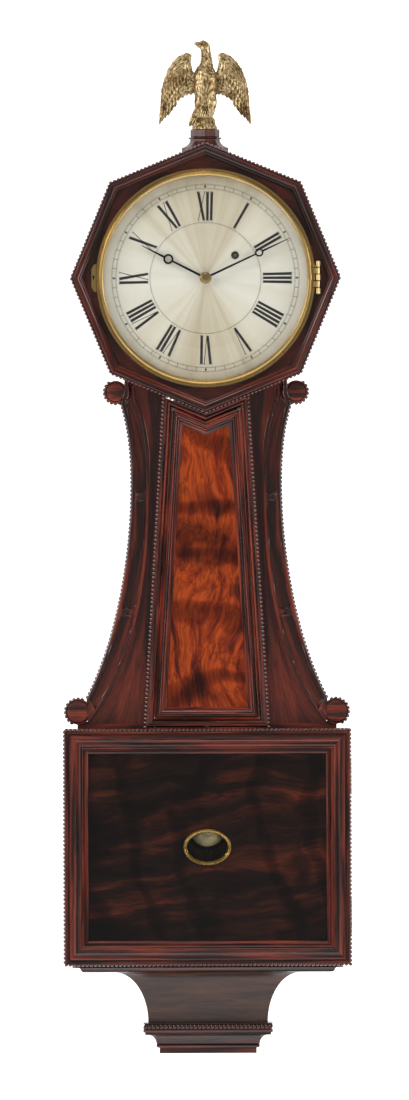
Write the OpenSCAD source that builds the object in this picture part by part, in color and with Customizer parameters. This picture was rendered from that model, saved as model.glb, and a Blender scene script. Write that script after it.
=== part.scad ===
// Wall-hung banjo clock: octagonal head, tapered trunk with carved side scrolls, pendulum box
// and a drop bracket, with its eight-day weight-driven movement inside.
// X runs to the right, Z up, and the front faces -Y. Depths count forward from the wall.
// The origin is where the dial's axis meets the back face.

/* [Head] */
// Corner radius of the octagonal head, without its beads
head_r = 167.5; // [150:0.5:202]
// Width of the moulding round the head
head_rim_w = 14; // [10:0.5:18]
// Depth of the head at its front face
head_depth = 104; // [98:0.5:124]
// Radius of the dial that shows
dial_r = 127; // [104:0.5:132]
// Thickness of the dial sheet
dial_t = 1.6; // [1:0.1:3]

/* [Trunk] */
// Height from the dial's centre down to the foot of the trunk
trunk_h = 559; // [520:0.5:668]
// Half width of the trunk at the foot of the head
trunk_top_w = 52.5; // [50:0.5:60]
// Half width of the trunk where it meets the box
trunk_foot_w = 77.3; // [66:0.5:93]
// Depth of the trunk's carcass
trunk_depth = 84; // [82:0.5:92]
// Width of the moulded frame round the trunk's panel
frame_w = 24.6; // [21:0.1:28]
// Half width over the scrolls at their waist
waist_w = 93; // [86:0.5:104]

/* [Box] */
// Width of the box, without its beads
box_w = 355.2; // [340:0.2:426]
// Height of the box
box_h = 292; // [250:1:350]
// Depth of the box's carcass
box_depth = 100; // [96:0.5:120]
// Thickness of the box door
door_t = 14; // [12:0.5:17]
// Width of the moulded frame of the box door
door_frame_w = 30; // [25:0.5:36]
// Width of the oval window over its ring
window_w = 60; // [50:0.5:72]
// Height of the oval window over its ring
window_h = 45.4; // [38:0.2:54]

/* [Bracket] */
// Half width of the bracket under the box
drop_top_w = 117; // [98:0.5:140]
// Half width of the bracket at its foot
drop_foot_w = 74.5; // [66:0.5:89]
// Height of the hollow part of the bracket
drop_h = 64; // [53:0.5:77]

/* [Boards] */
// Thickness of the back board
back_t = 12; // [9:0.5:15]
// Thickness of the carcass boards
board_t = 10; // [8:0.5:12]
// Pitch of the carved beads, which sets the size of the strip
bead_pitch = 5.2; // [4:0.1:6]

/* [Movement] */
// Distance from the dial's centre to the winding arbor
wind_r = 46.5; // [46:0.1:56]
// Angle of the winding arbor, clockwise from twelve
wind_a = 52.6; // [45:0.1:60]
// Radius of the winding arbor
wind_arbor_r = 3; // [2.5:0.1:3.6]
// Across the flats of the winding square
wind_square = 4.2; // [3.5:0.1:4.8]
// Radius of the barrel that the cord winds on
drum_r = 10.2; // [8:0.1:12]
// Height of the pendulum's suspension over the dial's centre
susp_h = 55; // [52:0.5:58]
// Length of the pendulum from its suspension to the middle of the bob
pend_len = 740; // [640:1:800]
// Radius of the pendulum's bob
bob_r = 27; // [22:0.5:32]
// Thickness of the movement's brass plates
plate_t = 3; // [2.5:0.1:3.6]

/* [Weight] */
// Width of the driving weight
weight_w = 56; // [46:0.5:60]
// Height of the driving weight
weight_h = 180; // [150:1:216]
// Radius of the pulley at the cord
pulley_r = 18; // [16:0.5:20]

/* [Wall plate] */
// Radius of the hole that hangs on the wall hook
hook_r = 4.5; // [3.5:0.1:5.5]
// Radius of the two holes that steady the box on the wall
steady_r = 2.4; // [2:0.1:3]
// Distance between the two steadying holes
steady_gap = 240; // [200:1:260]

/* [Hidden] */
$fn = 64;
fit = 0.05;                             // radial clearance of a running fit
gap = 0.3;                              // clearance between a moving piece and its neighbour
tan8 = tan(22.5);
cos8 = cos(22.5);

// Bead strip
bead_w = bead_pitch * 0.8;
bead_out = bead_w / 2;                  // how far a bead stands out of the wood
bead_seat = bead_w * 0.52;              // the rebate that the strip sits in

// Head
head_front_t = 12;
rim_h = 9;                              // how far the head's moulding stands up
bezel_w = 9.4;
bezel_r = dial_r + bezel_w;
glass_t = 2;
glass_r = dial_r + 2.5;
glass_rise = 11;
dial_seat_r = dial_r + 4;
dial_d = head_depth - 8;                // depth of the dial's face

// Trunk
trunk_z = -trunk_h;
trunk_face = trunk_depth + 3;           // depth of the panel's face
frame_h = 14;
throat_z = -head_r + trunk_top_w * tan8;
function trunk_half(z) =
    trunk_top_w + (trunk_foot_w - trunk_top_w) * (z - throat_z) / (trunk_z - throat_z);

// Box
box_top = trunk_z - 0.5 - bead_out;
box_foot = box_top - box_h;
box_half = box_w / 2;
door_gap = gap;
door_back = box_depth + door_gap;
door_rise = 8;                          // how far the door's moulding stands up
panel_t = 5;
window_z = (box_top + box_foot) / 2;
rail_h = 10;
rail_in = 18;                           // how far the rail under the box is set in
drop_z = box_foot - rail_h;
drop_end = drop_z - drop_h;

// Movement, as depths from the wall
seat_d = back_t + 3;
plate_back = seat_d;
plate_in = plate_back + plate_t;
plate_out = plate_in + 38;
plate_front = plate_out + plate_t;
plate_x = [-56, 86];
plate_zz = [-52, 76];
post_in = 10;
arbor = [0, 0];
winder = wind_r * [sin(wind_a), cos(wind_a)];
pallet_at = [0, susp_h];
escape_r = 12;
escape_at = pallet_at + 17 * [-0.645, -0.764];
m_great = 2 * wind_r / 104;
m_centre = 0.75;
m_third = 0.7;
motion_c = 22;                          // distance between the motion work's two axes
m_minute = 2 * motion_c / 70;
m_hour = 2 * motion_c / 63;
third_at = meet(arbor, m_centre * 44, escape_at, m_third * 32);
minute_at = motion_c * [-0.6111, -0.79156];
rod_d = 76;                             // depth of the pendulum rod's middle
cord_r = 0.8;
cord_x = winder[0] - drum_r - cord_r - 0.2;
cord_d = plate_in + 22;
pulley_at = [cord_x - pulley_r, -80];
cord_end = [cord_x - 2 * pulley_r, -42];
bob_z = susp_h - pend_len;
bob_t = 22;

hook_z = head_r * 0.62;
steady_z = box_foot + box_h * 0.16;

// Where two circles meet, on the left of the line from a to b
function meet(a, ra, b, rb) =
    let (d = norm(b - a), u = (b - a) / d, k = (ra * ra - rb * rb + d * d) / (2 * d))
    a + k * u + sqrt(ra * ra - k * k) * [-u[1], u[0]];

// Points along a cubic curve with four control points
function curve(p, n) = [for (i = [0:n]) let (t = i / n, s = 1 - t)
    s * s * s * p[0] + 3 * s * s * t * p[1] + 3 * s * t * t * p[2] + t * t * t * p[3]];

// A section turned, if need be, to run clockwise
function clockwise(p) =
    let (
        n = len(p),
        twice = [for (i = [0:n - 1]) let (q = p[(i + 1) % n]) p[i][0] * q[1] - q[0] * p[i][1]],
        area = twice * [for (i = [0:n - 1]) 1]
    )
    area < 0 ? p : [for (i = [n - 1:-1:0]) p[i]];

// A list without its first point
function tail(p) = [for (i = [1:len(p) - 1]) p[i]];

// Mirror a list of points left to right, in reverse order
function flip_x(p) = [for (i = [len(p) - 1:-1:0]) [-p[i][0], p[i][1]]];

function octagon(r) = [for (i = [0:7]) r * [cos(90 + 45 * i), sin(90 + 45 * i)]];

// ---- shared shapes ----

// A flat outline standing upright, from depth d0 to depth d1
module slab(d0, d1) {
    translate([0, -d0, 0]) rotate([90, 0, 0]) linear_extrude(d1 - d0) children();
}

// A profile of [radius, depth] points turned about a line along the depth
module turned(at, profile) {
    translate([at[0], 0, at[1]]) rotate([90, 0, 0]) rotate_extrude($fn = 96) polygon(profile);
}

// A round rod along the depth
module rod(at, r, d0, d1) {
    translate([at[0], -d0, at[1]]) rotate([90, 0, 0]) cylinder(r = r, h = d1 - d0);
}

// For each corner of a closed path, the step that moves both its sides in by one
function corners(path) = let (n = len(path)) [for (i = [0:n - 1])
    let (
        a = path[(i + n - 1) % n], b = path[i], c = path[(i + 1) % n],
        u = (b - a) / norm(b - a), v = (c - b) / norm(c - b),
        nu = [-u[1], u[0]], nv = [-v[1], v[0]]
    )
    (nu + nv) / (1 + nu * nv)];

// A profile of [inset, depth] points carried round a closed path with mitred corners
module mitred(path, section) {
    profile = clockwise(section);
    n = len(path);
    m = len(profile);
    corner = corners(path);
    points = [for (i = [0:n - 1], j = [0:m - 1])
        let (q = path[i] + profile[j][0] * corner[i]) [q[0], -profile[j][1], q[1]]];
    faces = [for (i = [0:n - 1], j = [0:m - 1])
        let (i2 = (i + 1) % n, j2 = (j + 1) % m)
        [i * m + j, i * m + j2, i2 * m + j2, i2 * m + j]];
    polyhedron(points, faces);
}

// The same profile carried along an open path, cut square at its ends
module strip(path, section) {
    profile = clockwise(section);
    n = len(path);
    m = len(profile);
    side = [for (i = [0:n - 1])
        let (
            b = path[i],
            a = i == 0 ? 2 * b - path[1] : path[i - 1],
            c = i == n - 1 ? 2 * b - path[n - 2] : path[i + 1],
            u = (b - a) / norm(b - a), v = (c - b) / norm(c - b),
            nu = [-u[1], u[0]], nv = [-v[1], v[0]]
        )
        (nu + nv) / (1 + nu * nv)];
    points = [for (i = [0:n - 1], j = [0:m - 1])
        let (q = path[i] + profile[j][0] * side[i]) [q[0], -profile[j][1], q[1]]];
    faces = [
        [for (j = [m - 1:-1:0]) j],
        [for (j = [0:m - 1]) (n - 1) * m + j],
        for (i = [0:n - 2], j = [0:m - 1])
            let (j2 = (j + 1) % m) [i * m + j, i * m + j2, (i + 1) * m + j2, (i + 1) * m + j]];
    polyhedron(points, faces);
}

// Section of the bead strip: a square tongue with a round outer face, seated at depth d
function bead_section(d) = concat(
    [[bead_seat, d], [bead_seat, d + bead_w], [0.4, d + bead_w]],
    [for (a = [75, 40, 0, -40, -75])
        [-bead_out * cos(a), d + bead_w / 2 + bead_w / 2 * sin(a)]],
    [[0.4, d]]);

// A cut gear: n thin teeth on a pitch radius, with ogive tips
module gear(n, m, tooth, tip, root) {
    rp = n * m / 2;
    h = 360 / n * tooth / 2;
    polygon([for (i = [0:n - 1], k = [0:5])
        let (
            a = 360 / n * i,
            p = [[-1.15 * h, rp - root], [-h, rp], [-0.45 * h, rp + 0.75 * tip],
                [0.45 * h, rp + 0.75 * tip], [h, rp], [1.15 * h, rp - root]][k]
        )
        p[1] * [cos(a + p[0]), sin(a + p[0])]]);
}

module wheel_teeth(n, m) { gear(n, m, 0.40, 1.15 * m, 1.2 * m); }
module leaf_teeth(n, m) { gear(n, m, 0.30, 0.55 * m, 1.35 * m); }

// Direction from a to b, in degrees
function bearing(a, b) = atan2(b[1] - a[1], b[0] - a[0]);

// A gear placed in depth and turned so that a tooth, or a gap, points along an angle
module wheel_at(at, n, m, d0, d1, face_a, hub, spokes) {
    slab(d0, d1) translate(at) difference() {
        rotate(face_a) wheel_teeth(n, m);
        rim = n * m / 2 - 1.2 * m - 3;
        if (spokes > 0) difference() {
            circle(r = rim);
            circle(r = hub);
            for (i = [0:spokes - 1]) rotate(360 / spokes * i)
                translate([0, -1.6]) square([rim + 1, 3.2]);
        }
    }
}

module pinion_at(at, n, m, d0, d1, face_a) {
    slab(d0, d1) translate(at) rotate(face_a + 180 / n) leaf_teeth(n, m);
}

// ---- carcass ----

module case_outline() {
    polygon(octagon(head_r - board_t));
    inside = trunk_half(trunk_z) - bead_seat - board_t;
    trunk_shape(bead_seat + board_t, throat_z + 20);
    translate([-box_half + board_t, box_foot + board_t])
        square([box_w - 2 * board_t, box_h - 2 * board_t]);
    translate([-inside, box_top - board_t - 2]) square([2 * inside, trunk_z - box_top + board_t + 3]);
}

// The trunk's tapered outline, set in by a margin, from its foot up to a height
module trunk_shape(inset, top) {
    polygon([[-trunk_half(trunk_z) + inset, trunk_z], [trunk_half(trunk_z) - inset, trunk_z],
        [trunk_half(top) - inset, top], [-trunk_half(top) + inset, top]]);
}

module back_board() {
    color("saddlebrown") difference() {
        slab(0, back_t) case_outline();
        hanger_blank();
        rod([0, hook_z], hook_r + 4, -1, back_t + 1);
        case_screws();
        for (p = posts) rod(p, spigot_r, back_t, back_t + 1);
        for (s = [-1, 1]) rod([s * steady_gap / 2, steady_z], steady_r, -1, back_t + 1);
    }
}

module head_case() {
    color("maroon") slab(0, head_depth - head_front_t) difference() {
        polygon(octagon(head_r - 2));
        polygon(octagon(head_r - board_t));
        translate([-trunk_top_w + 6, -head_r - 1]) square([2 * trunk_top_w - 12, 60]);
    }
}

module head_front() {
    color("maroon") difference() {
        slab(head_depth - head_front_t, head_depth) polygon(octagon(head_r));
        turned([0, 0], [[0, head_depth - head_front_t - 1], [dial_seat_r + 6, head_depth - head_front_t - 1],
            [dial_seat_r + 6, dial_d], [dial_r + 3, dial_d], [dial_r + 3, head_depth + 1],
            [0, head_depth + 1]]);
        lock_pocket(gap);
    }
}

module lock_pocket(c) {
    translate([-bezel_r - 6 - c, -head_depth - 1, -6 - c])
        cube([9 + 2 * c, 11, 16 + 2 * c]);
}

function rim_section(d) = [[0, d], [0, d + 1.2], [bead_seat, d + 1.2], [bead_seat, d + rim_h - 1],
    [3.2, d + rim_h], [5, d + rim_h - 0.3], [5.6, d + rim_h - 1.6], [8, d + rim_h - 2.4],
    [10.4, d + 4], [10.8, d + 2.6], [head_rim_w - 0.8, d + 2.2], [head_rim_w, d + 1.2],
    [head_rim_w, d]];

module head_moulding() {
    color("saddlebrown") mitred(octagon(head_r), rim_section(head_depth));
}

module head_beading() {
    color("maroon") mitred(octagon(head_r), bead_section(head_depth + 1.2));
}

module trunk_sides() {
    color("maroon") slab(0, trunk_depth) difference() {
        trunk_shape(bead_seat, throat_z - 1);
        trunk_shape(bead_seat + board_t, throat_z + 2);
        polygon([[-80, throat_z + 2], [0, -head_r - gap], [80, throat_z + 12], [80, 0], [-80, 0]]);
        trunk_shape(bead_seat + board_t, throat_z);
    }
}

frame_z = trunk_z;
trunk_path = [[-trunk_half(throat_z), throat_z - gap], [-trunk_half(frame_z), frame_z],
    [trunk_half(frame_z), frame_z], [trunk_half(throat_z), throat_z - gap], [0, -head_r - gap]];

function frame_section(d) = [[bead_seat, d], [bead_seat, d + 8], [4.4, d + 8], [4.8, d + 6],
    [6.4, d + 6.4], [6.8, d + 9], [8.6, d + 9.8], [9.4, d + 9.2], [10, d + 11.4],
    [11.4, d + 13.4], [12.8, d + frame_h], [14.2, d + 13.4], [15, d + 11.6], [16.6, d + 11.2],
    [17.6, d + 9.4], [19.4, d + 8.8], [20.2, d + 6.6], [22, d + 5.8], [22.8, d + 4.4],
    [frame_w, d + 3.6], [frame_w, d]];

module trunk_frame() {
    color("brown") mitred(trunk_path, frame_section(trunk_depth));
}

module trunk_panel() {
    corner = corners(trunk_path);
    color("chocolate") slab(trunk_depth, trunk_face)
        polygon([for (i = [0:4]) trunk_path[i] + frame_w * corner[i]]);
}

// ---- side scrolls ----

scroll_d = trunk_depth - 22;
scroll_top = -head_r * 0.845;
volute_top = [head_r * 0.67, scroll_top];
volute_foot = [box_half - 17.3, trunk_z + 19.8];
waist_z = -255;
outer_edge = concat(
    curve([[volute_top[0] - 6, volute_top[1] - 13.4], [waist_w + 4, -183], [waist_w, -215],
        [waist_w, waist_z]], 10),
    tail(curve([[waist_w, waist_z], [waist_w, -340], [waist_w + 17, trunk_z + 111.5],
        [volute_foot[0] - 10.3, volute_foot[1] + 16]], 14)));
inner_edge = concat(
    curve([[waist_w - 3, scroll_top - 4], [waist_w - 19, -172], [waist_w - 23, -205],
        [waist_w - 23, -240]], 8),
    tail(curve([[waist_w - 23, -240], [waist_w - 23, -400], [waist_w + 2, trunk_z + 70],
        [volute_foot[0] - 12, volute_foot[1] - 15]], 14)));

module volutes() {
    translate(volute_top) circle(r = 14);
    translate(volute_foot) circle(r = 15.5);
}

module scroll_board() {
    slab(scroll_d, trunk_depth - 1) difference() {
        union() {
            polygon(concat(outer_edge,
                [volute_foot + [0, -15.4], [trunk_foot_w - 4, trunk_z],
                    [trunk_top_w - 2, throat_z - 6], [trunk_top_w, -head_r + trunk_top_w * tan8 - gap],
                    [volute_top[0] - 9, -head_r + (volute_top[0] - 9) * tan8 - gap]]));
            volutes();
        }
        trunk_shape(bead_seat, throat_z + 30);
    }
    slab(trunk_depth - 1, trunk_depth + 3) difference() {
        union() {
            polygon(concat(outer_edge, [volute_foot + [0, -15.4]],
                [for (i = [len(inner_edge) - 1:-1:0]) inner_edge[i]],
                [[volute_top[0] - 9, -head_r + (volute_top[0] - 9) * tan8 - gap]]));
            volutes();
        }
        trunk_shape(bead_seat, throat_z + 30);
    }
}

module scroll_right() { color("brown") scroll_board(); }
module scroll_left() { color("brown") mirror([1, 0, 0]) scroll_board(); }

// The ring of beads round a volute
module bead_ring(at, rim) {
    d = trunk_depth - 1;
    turned(at, [[rim, d - 4], [rim + bead_out, d - 3.4], [rim + 1.8 * bead_out, d - 2],
        [rim + bead_out, d - 0.6], [rim, d]]);
}

module scroll_bosses() {
    color("brown") for (s = [-1, 1]) {
        boss([s * volute_top[0], volute_top[1]], 10.2, 14);
        boss([s * volute_foot[0], volute_foot[1]], 12.8, 15.5);
    }
}

// A turned button with a hollow round it, inside a ring of beads
module boss(at, r, rim) {
    d = trunk_depth + 3;
    bead_ring(at, rim);
    turned(at, concat([[0, d], [rim - 1.2, d], [rim - 1.2, d + 0.8], [r, d + 1.2]],
        [for (a = [15:15:75]) [r * cos(a), d + 1.2 + 5.4 * sin(a)]], [[0, d + 6.6]]));
}

module case_beading() {
    color("maroon") {
        side = [[-trunk_half(throat_z - 4), throat_z - 4], [-trunk_half(trunk_z + 1), trunk_z + 1]];
        for (path = [side, flip_x(side)]) strip(path, bead_section(trunk_depth + 4));
        for (path = [outer_edge, flip_x(outer_edge)])
            strip(path, edge_bead_section(trunk_depth - 1));
        bead_row(box_half - 8.3, box_foot, box_depth - 6);
        bead_row(drop_foot_w + 7, drop_end - 3, 62);
    }
}

// A level row of beads facing forward, hung below a height
module bead_row(half, z, d) {
    strip([[half, z], [-half, z]], [[0, d - 3], [0, d], [bead_w / 4, d + bead_out * 0.8],
        [bead_w / 2, d + bead_out], [bead_w * 0.75, d + bead_out * 0.8], [bead_w, d], [bead_w, d - 3]]);
}

// Section of a bead strip glued on a flat edge, with its front at depth d
function edge_bead_section(d) = [[0, d], [bead_out, d - 0.6], [2 * bead_out, d - 2],
    [bead_out, d - 3.4], [0, d - 4]];

// ---- box ----

module box_case() {
    color("maroon") difference() {
        translate([-box_half, -box_depth, box_foot]) cube([box_w, box_depth, box_h]);
        translate([-box_half + board_t, -box_depth - 1, box_foot + board_t])
            cube([box_w - 2 * board_t, box_depth + 2, box_h - 2 * board_t]);
        translate([-trunk_foot_w + board_t, -trunk_depth + 4, box_top - board_t - 1])
            cube([2 * trunk_foot_w - 2 * board_t, trunk_depth + 1, board_t + 2]);
        for (z = hinge_heights) {
            translate([box_half - 9, -box_depth - 1, z - hinge_l / 2]) cube([10, 1 + leaf_t, hinge_l]);
            translate([hinge_x, -hinge_d, z - hinge_l / 2])
                cylinder(r = knuckle_r + gap, h = hinge_l);
        }
    }
}

door_path = [[-box_half, box_top], [-box_half, box_foot], [box_half, box_foot], [box_half, box_top]];

function door_section(d) = [[0, d], [0, d + door_t - bead_w - 1], [bead_seat, d + door_t - bead_w - 1],
    [bead_seat, d + door_t - 1], [4.2, d + door_t - 1], [4.6, d + door_t - 2.4],
    [6, d + door_t - 2.4], [6.4, d + door_t + 2], [8.4, d + door_t + 5],
    [11.5, d + door_t + door_rise - 0.6], [14, d + door_t + door_rise], [16.4, d + door_t + 7],
    [17.6, d + door_t + 5], [20.4, d + door_t + 3.4], [21.4, d + door_t + 1.6],
    [24.6, d + door_t + 1], [26, d + door_t - 1.6], [door_frame_w - 0.8, d + door_t - 2.4],
    [door_frame_w, d + door_t - 4], [door_frame_w, d]];

module box_door_frame() {
    color("brown") difference() {
        mitred(door_path, door_section(door_back));
        for (z = hinge_heights) {
            translate([box_half - 9, -door_back - leaf_t, z - hinge_l / 2])
                cube([10, leaf_t + 1, hinge_l]);
            translate([hinge_x, -hinge_d, z - hinge_l / 2]) cylinder(r = knuckle_r + gap, h = hinge_l);
        }
    }
}

module box_door_beading() {
    color("maroon") mitred(door_path, bead_section(door_back + door_t - bead_w - 1));
}

module box_door_panel() {
    color([0.25, 0.1, 0.06]) difference() {
        translate([-box_half + door_frame_w, -door_back - 3 - panel_t, box_foot + door_frame_w])
            cube([box_w - 2 * door_frame_w, panel_t, box_h - 2 * door_frame_w]);
        oval_slab(door_back, door_back + 20, window_w / 2 - 2, window_h / 2 - 2);
    }
}

// An upright disc stretched to an oval, at the window's centre
module oval_slab(d0, d1, a, b) {
    translate([0, 0, window_z]) slab(d0, d1)
        polygon([for (t = [0:7.5:352.5]) [a * cos(t), b * sin(t)]]);
}

module window_ring() {
    color("goldenrod") {
        d = door_back + 3 + panel_t;
        difference() {
            oval_slab(d, d + 2.6, window_w / 2, window_h / 2);
            oval_slab(d - 1, d + 4, window_w / 2 - 3.2, window_h / 2 - 3.2);
        }
        difference() {
            oval_slab(door_back + 5.2, d, window_w / 2 - 2, window_h / 2 - 2);
            oval_slab(door_back + 5, d + 1, window_w / 2 - 3.2, window_h / 2 - 3.2);
        }
    }
}

module window_glass() {
    color([0.7, 0.8, 0.8, 0.4])
        oval_slab(door_back + 3, door_back + 5.2, window_w / 2 - 2, window_h / 2 - 2);
}

// ---- hinges ----

leaf_t = 1.5;
knuckle_r = 2;
pin_r = 1;
hinge_l = 45;
hinge_x = box_half + 0.2;
hinge_d = box_depth + door_gap / 2;
hinge_heights = [box_foot + box_h * 0.2, box_top - box_h * 0.2];
bezel_hinge_l = 41.7;
bezel_hinge_x = bezel_r + 3.4;
bezel_hinge_d = head_depth + 5;
bezel_pin_r = 0.9;
bezel_knuckle_r = 2.5;
bezel_cuts = [0, 7.5, 17.5, 25, 36, bezel_hinge_l];

// Knuckle number i of the bezel's hinge, from the bottom
module bezel_knuckle(i, bore) {
    z0 = -bezel_hinge_l / 2 + bezel_cuts[i];
    translate([bezel_hinge_x, -bezel_hinge_d, z0 + 0.1]) difference() {
        cylinder(r = bezel_knuckle_r, h = bezel_cuts[i + 1] - bezel_cuts[i] - 0.2);
        translate([0, 0, -1]) cylinder(r = bore, h = 20);
    }
}

// Knuckle number i of three on a box hinge at height z
module box_knuckle(z, i, bore) {
    h = hinge_l / 3;
    translate([hinge_x, -hinge_d, z - hinge_l / 2 + i * h + 0.1]) difference() {
        cylinder(r = knuckle_r, h = h - 0.2);
        translate([0, 0, -1]) cylinder(r = bore, h = h + 2);
    }
}

module fixed_hinge_leaves() {
    color("goldenrod") {
        for (i = [0, 2, 4]) {
            bezel_knuckle(i, bezel_pin_r);
            z0 = -bezel_hinge_l / 2 + bezel_cuts[i];
            translate([bezel_hinge_x + 1, -bezel_hinge_d + 1, z0 + 0.1])
                cube([2.4, 5 - 1, bezel_cuts[i + 1] - bezel_cuts[i] - 0.2]);
        }
        for (z = hinge_heights) {
            for (i = [0, 2]) {
                box_knuckle(z, i, pin_r);
                translate([box_half - 9, -box_depth, z - hinge_l / 2 + i * hinge_l / 3 + 0.1])
                    cube([8, leaf_t, hinge_l / 3 - 0.2]);
            }
        }
    }
}

module door_hinge_leaves() {
    color("goldenrod") for (z = hinge_heights) {
        box_knuckle(z, 1, pin_r + fit);
        translate([box_half - 9, -door_back - leaf_t, z - hinge_l / 6 + 0.1])
            cube([8, leaf_t, hinge_l / 3 - 0.2]);
    }
}

module hinge_pins() {
    color("goldenrod") {
        translate([bezel_hinge_x, -bezel_hinge_d, -bezel_hinge_l / 2 - 0.6])
            cylinder(r = bezel_pin_r, h = bezel_hinge_l + 1.2);
        for (z = hinge_heights) translate([hinge_x, -hinge_d, z - hinge_l / 2 + 0.1])
            cylinder(r = pin_r, h = hinge_l - 0.2);
    }
}

// ---- under the box ----

module base_moulding() {
    color("brown") {
        top = box_foot - bead_w;
        step_h = (rail_h - bead_w) / 3;
        translate([-box_half + 9, -box_depth + 9, top]) cube([box_w - 18, box_depth - 9, bead_w]);
        for (k = [0:2]) {
            w = box_half - rail_in - 3 * k;
            d = box_depth - 5 - 2.4 * k;
            translate([-w, -d, top - (k + 1) * step_h]) cube([2 * w, d, step_h]);
        }
    }
}

// Quarter hollow from the bracket's top corner in to its foot, as [inset, height]
hollow = [for (t = [0:7.5:90]) [(drop_top_w - drop_foot_w) * sin(t), -drop_h * (1 - cos(t))]];

module drop_bracket() {
    color("saddlebrown") intersection() {
        slab(0, box_depth - 12) translate([0, drop_z]) polygon(concat(
            [for (p = hollow) [drop_top_w - p[0], p[1]]],
            flip_x([for (p = hollow) [drop_top_w - p[0], p[1]]])));
        translate([-drop_top_w - 1, 0, drop_z]) rotate([90, 0, 90])
            linear_extrude(2 * drop_top_w + 2) polygon(concat([[0, 0]],
                [for (p = hollow) [-box_depth + 12 + p[0] * 0.8, p[1]]], [[0, -drop_h]]));
    }
}

module foot_block(w, d, z0, z1) {
    translate([-w, -d, z0]) cube([2 * w, d, z1 - z0]);
}

module bracket_foot() {
    color("brown") {
        w = drop_foot_w;
        difference() {
            foot_block(w + 7, 62, drop_end - 12, drop_end);
            translate([-w - 8, -63, drop_end - 3 - bead_w]) cube([2 * w + 16, 4, bead_w]);
        }
        foot_block(w + 4, 58, drop_end - 15.2, drop_end - 12);
        difference() {
            foot_block(w + 1, 55, drop_end - 27, drop_end - 15.2);
            for (s = [-1, 1]) translate([s * (w + 1.6), 1, drop_end - 27.2])
                rotate([90, 0, 0]) cylinder(r = 11.4, h = 60);
            translate([-w - 9, -55.6, drop_end - 27.2])
                rotate([0, 90, 0]) cylinder(r = 11.4, h = 2 * w + 18);
        }
        foot_block(w - 10, 45.4, drop_end - 32, drop_end - 27);
        foot_block(w - 14, 41.6, drop_end - 38.6, drop_end - 32);
    }
}

// ---- finial ----

plinth_d = 58;
plinth_top = head_r + 18.8;

module finial_plinth() {
    color("saddlebrown") difference() {
        translate([0, -plinth_d, 0]) rotate(22.5) {
            translate([0, 0, plinth_top - 10]) cylinder(r = 18.2, h = 10, $fn = 8);
            translate([0, 0, plinth_top - 12.4]) cylinder(r = 21, h = 2.4, $fn = 8);
            for (k = [0:4]) translate([0, 0, plinth_top - 14.4 - 2.4 * k])
                cylinder(r = 18.4 + 0.5 * k * k, h = 2.4, $fn = 8);
            translate([0, 0, head_r - 18]) cylinder(r = 29.2, h = 12.8, $fn = 8);
        }
        slab(0, head_depth) polygon(octagon(head_r));
        translate([0, -plinth_d, plinth_top - 14]) cylinder(r = 3, h = 15);
    }
}

// Points down one raised wing, each with the half height of the wing there
wing_bones = [[7, 66, 9], [17, 76, 10], [30, 70, 16], [42, 56, 20], [50, 36, 15], [56, 8, 3]];

module wing_part(a, b) {
    hull() for (p = [a, b]) translate([p[0], 3, p[1]])
        scale([0.5, 0.26, 1]) sphere(r = p[2], $fn = 16);
}

// The eagle is set out from the top of the plinth, facing forward
module eagle_finial() {
    color("darkgoldenrod") translate([0, -plinth_d, plinth_top]) {
        translate([0, 0, -13]) cylinder(r = 3, h = 14);
        hull() {
            cylinder(r = 13.5, h = 2, $fn = 20);
            translate([0, 0, 9]) cylinder(r = 9, h = 4, $fn = 20);
        }
        hull() {
            translate([0, 0, 64]) scale([0.9, 0.8, 1]) sphere(r = 12, $fn = 20);
            translate([0, 0, 40]) scale([1, 0.8, 1]) sphere(r = 12, $fn = 20);
            translate([0, 1, 22]) scale([1.5, 0.9, 1]) sphere(r = 7, $fn = 16);
        }
        hull() {
            translate([0, -1, 82]) sphere(r = 6.4, $fn = 16);
            translate([-1, -3, 104]) sphere(r = 6.6, $fn = 16);
        }
        hull() {
            translate([-1, -4, 105]) sphere(r = 6.4, $fn = 16);
            translate([-10.6, -6, 104]) sphere(r = 2, $fn = 8);
        }
        for (s = [-1, 1]) hull() {
            translate([s * 7, -2, 26]) sphere(r = 5.6, $fn = 14);
            translate([s * 6, -3, 9]) sphere(r = 4, $fn = 14);
        }
        for (s = [0, 1], i = [0:4]) mirror([s, 0, 0]) wing_part(wing_bones[i], wing_bones[i + 1]);
        hull() {
            translate([-4, 8, 34]) scale([1, 0.3, 1]) sphere(r = 8, $fn = 14);
            translate([-8, 9, 8]) scale([1, 0.3, 1]) sphere(r = 6, $fn = 14);
        }
    }
}

// ---- wall plates and screws ----

module hanger_blank() {
    translate([-16, -2, hook_z - 15]) cube([32, 2, 30]);
}

module hanger_plate() {
    color("goldenrod") difference() {
        hanger_blank();
        rod([0, hook_z], hook_r, -1, 4);
        for (s = [-1, 1]) rod([s * 11.5, hook_z - 10], 1.5, -1, 4);
        for (s = [-1, 1]) rod([s * 11.5, hook_z + 10], 1.5, -1, 4);
    }
}

module case_screws() {
    color("dimgray") {
        for (s = [-1, 1], t = [-1, 1]) rod([s * 11.5, hook_z + 10 * t], 1.5, 0, back_t - 1);
        for (s = [-1, 1]) {
            rod([s * 20, -36], 2, 2, plate_in);
            rod([s * 20, -36], 4, 0, 2);
        }
    }
}

module weight_guard() {
    color("gray") difference() {
        slab(62, 63) difference() {
            trunk_shape(board_t + bead_seat, throat_z - 6);
            translate([-100, trunk_z - 1]) square([200, 20]);
        }
    }
}

// ---- bezel ----

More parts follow.
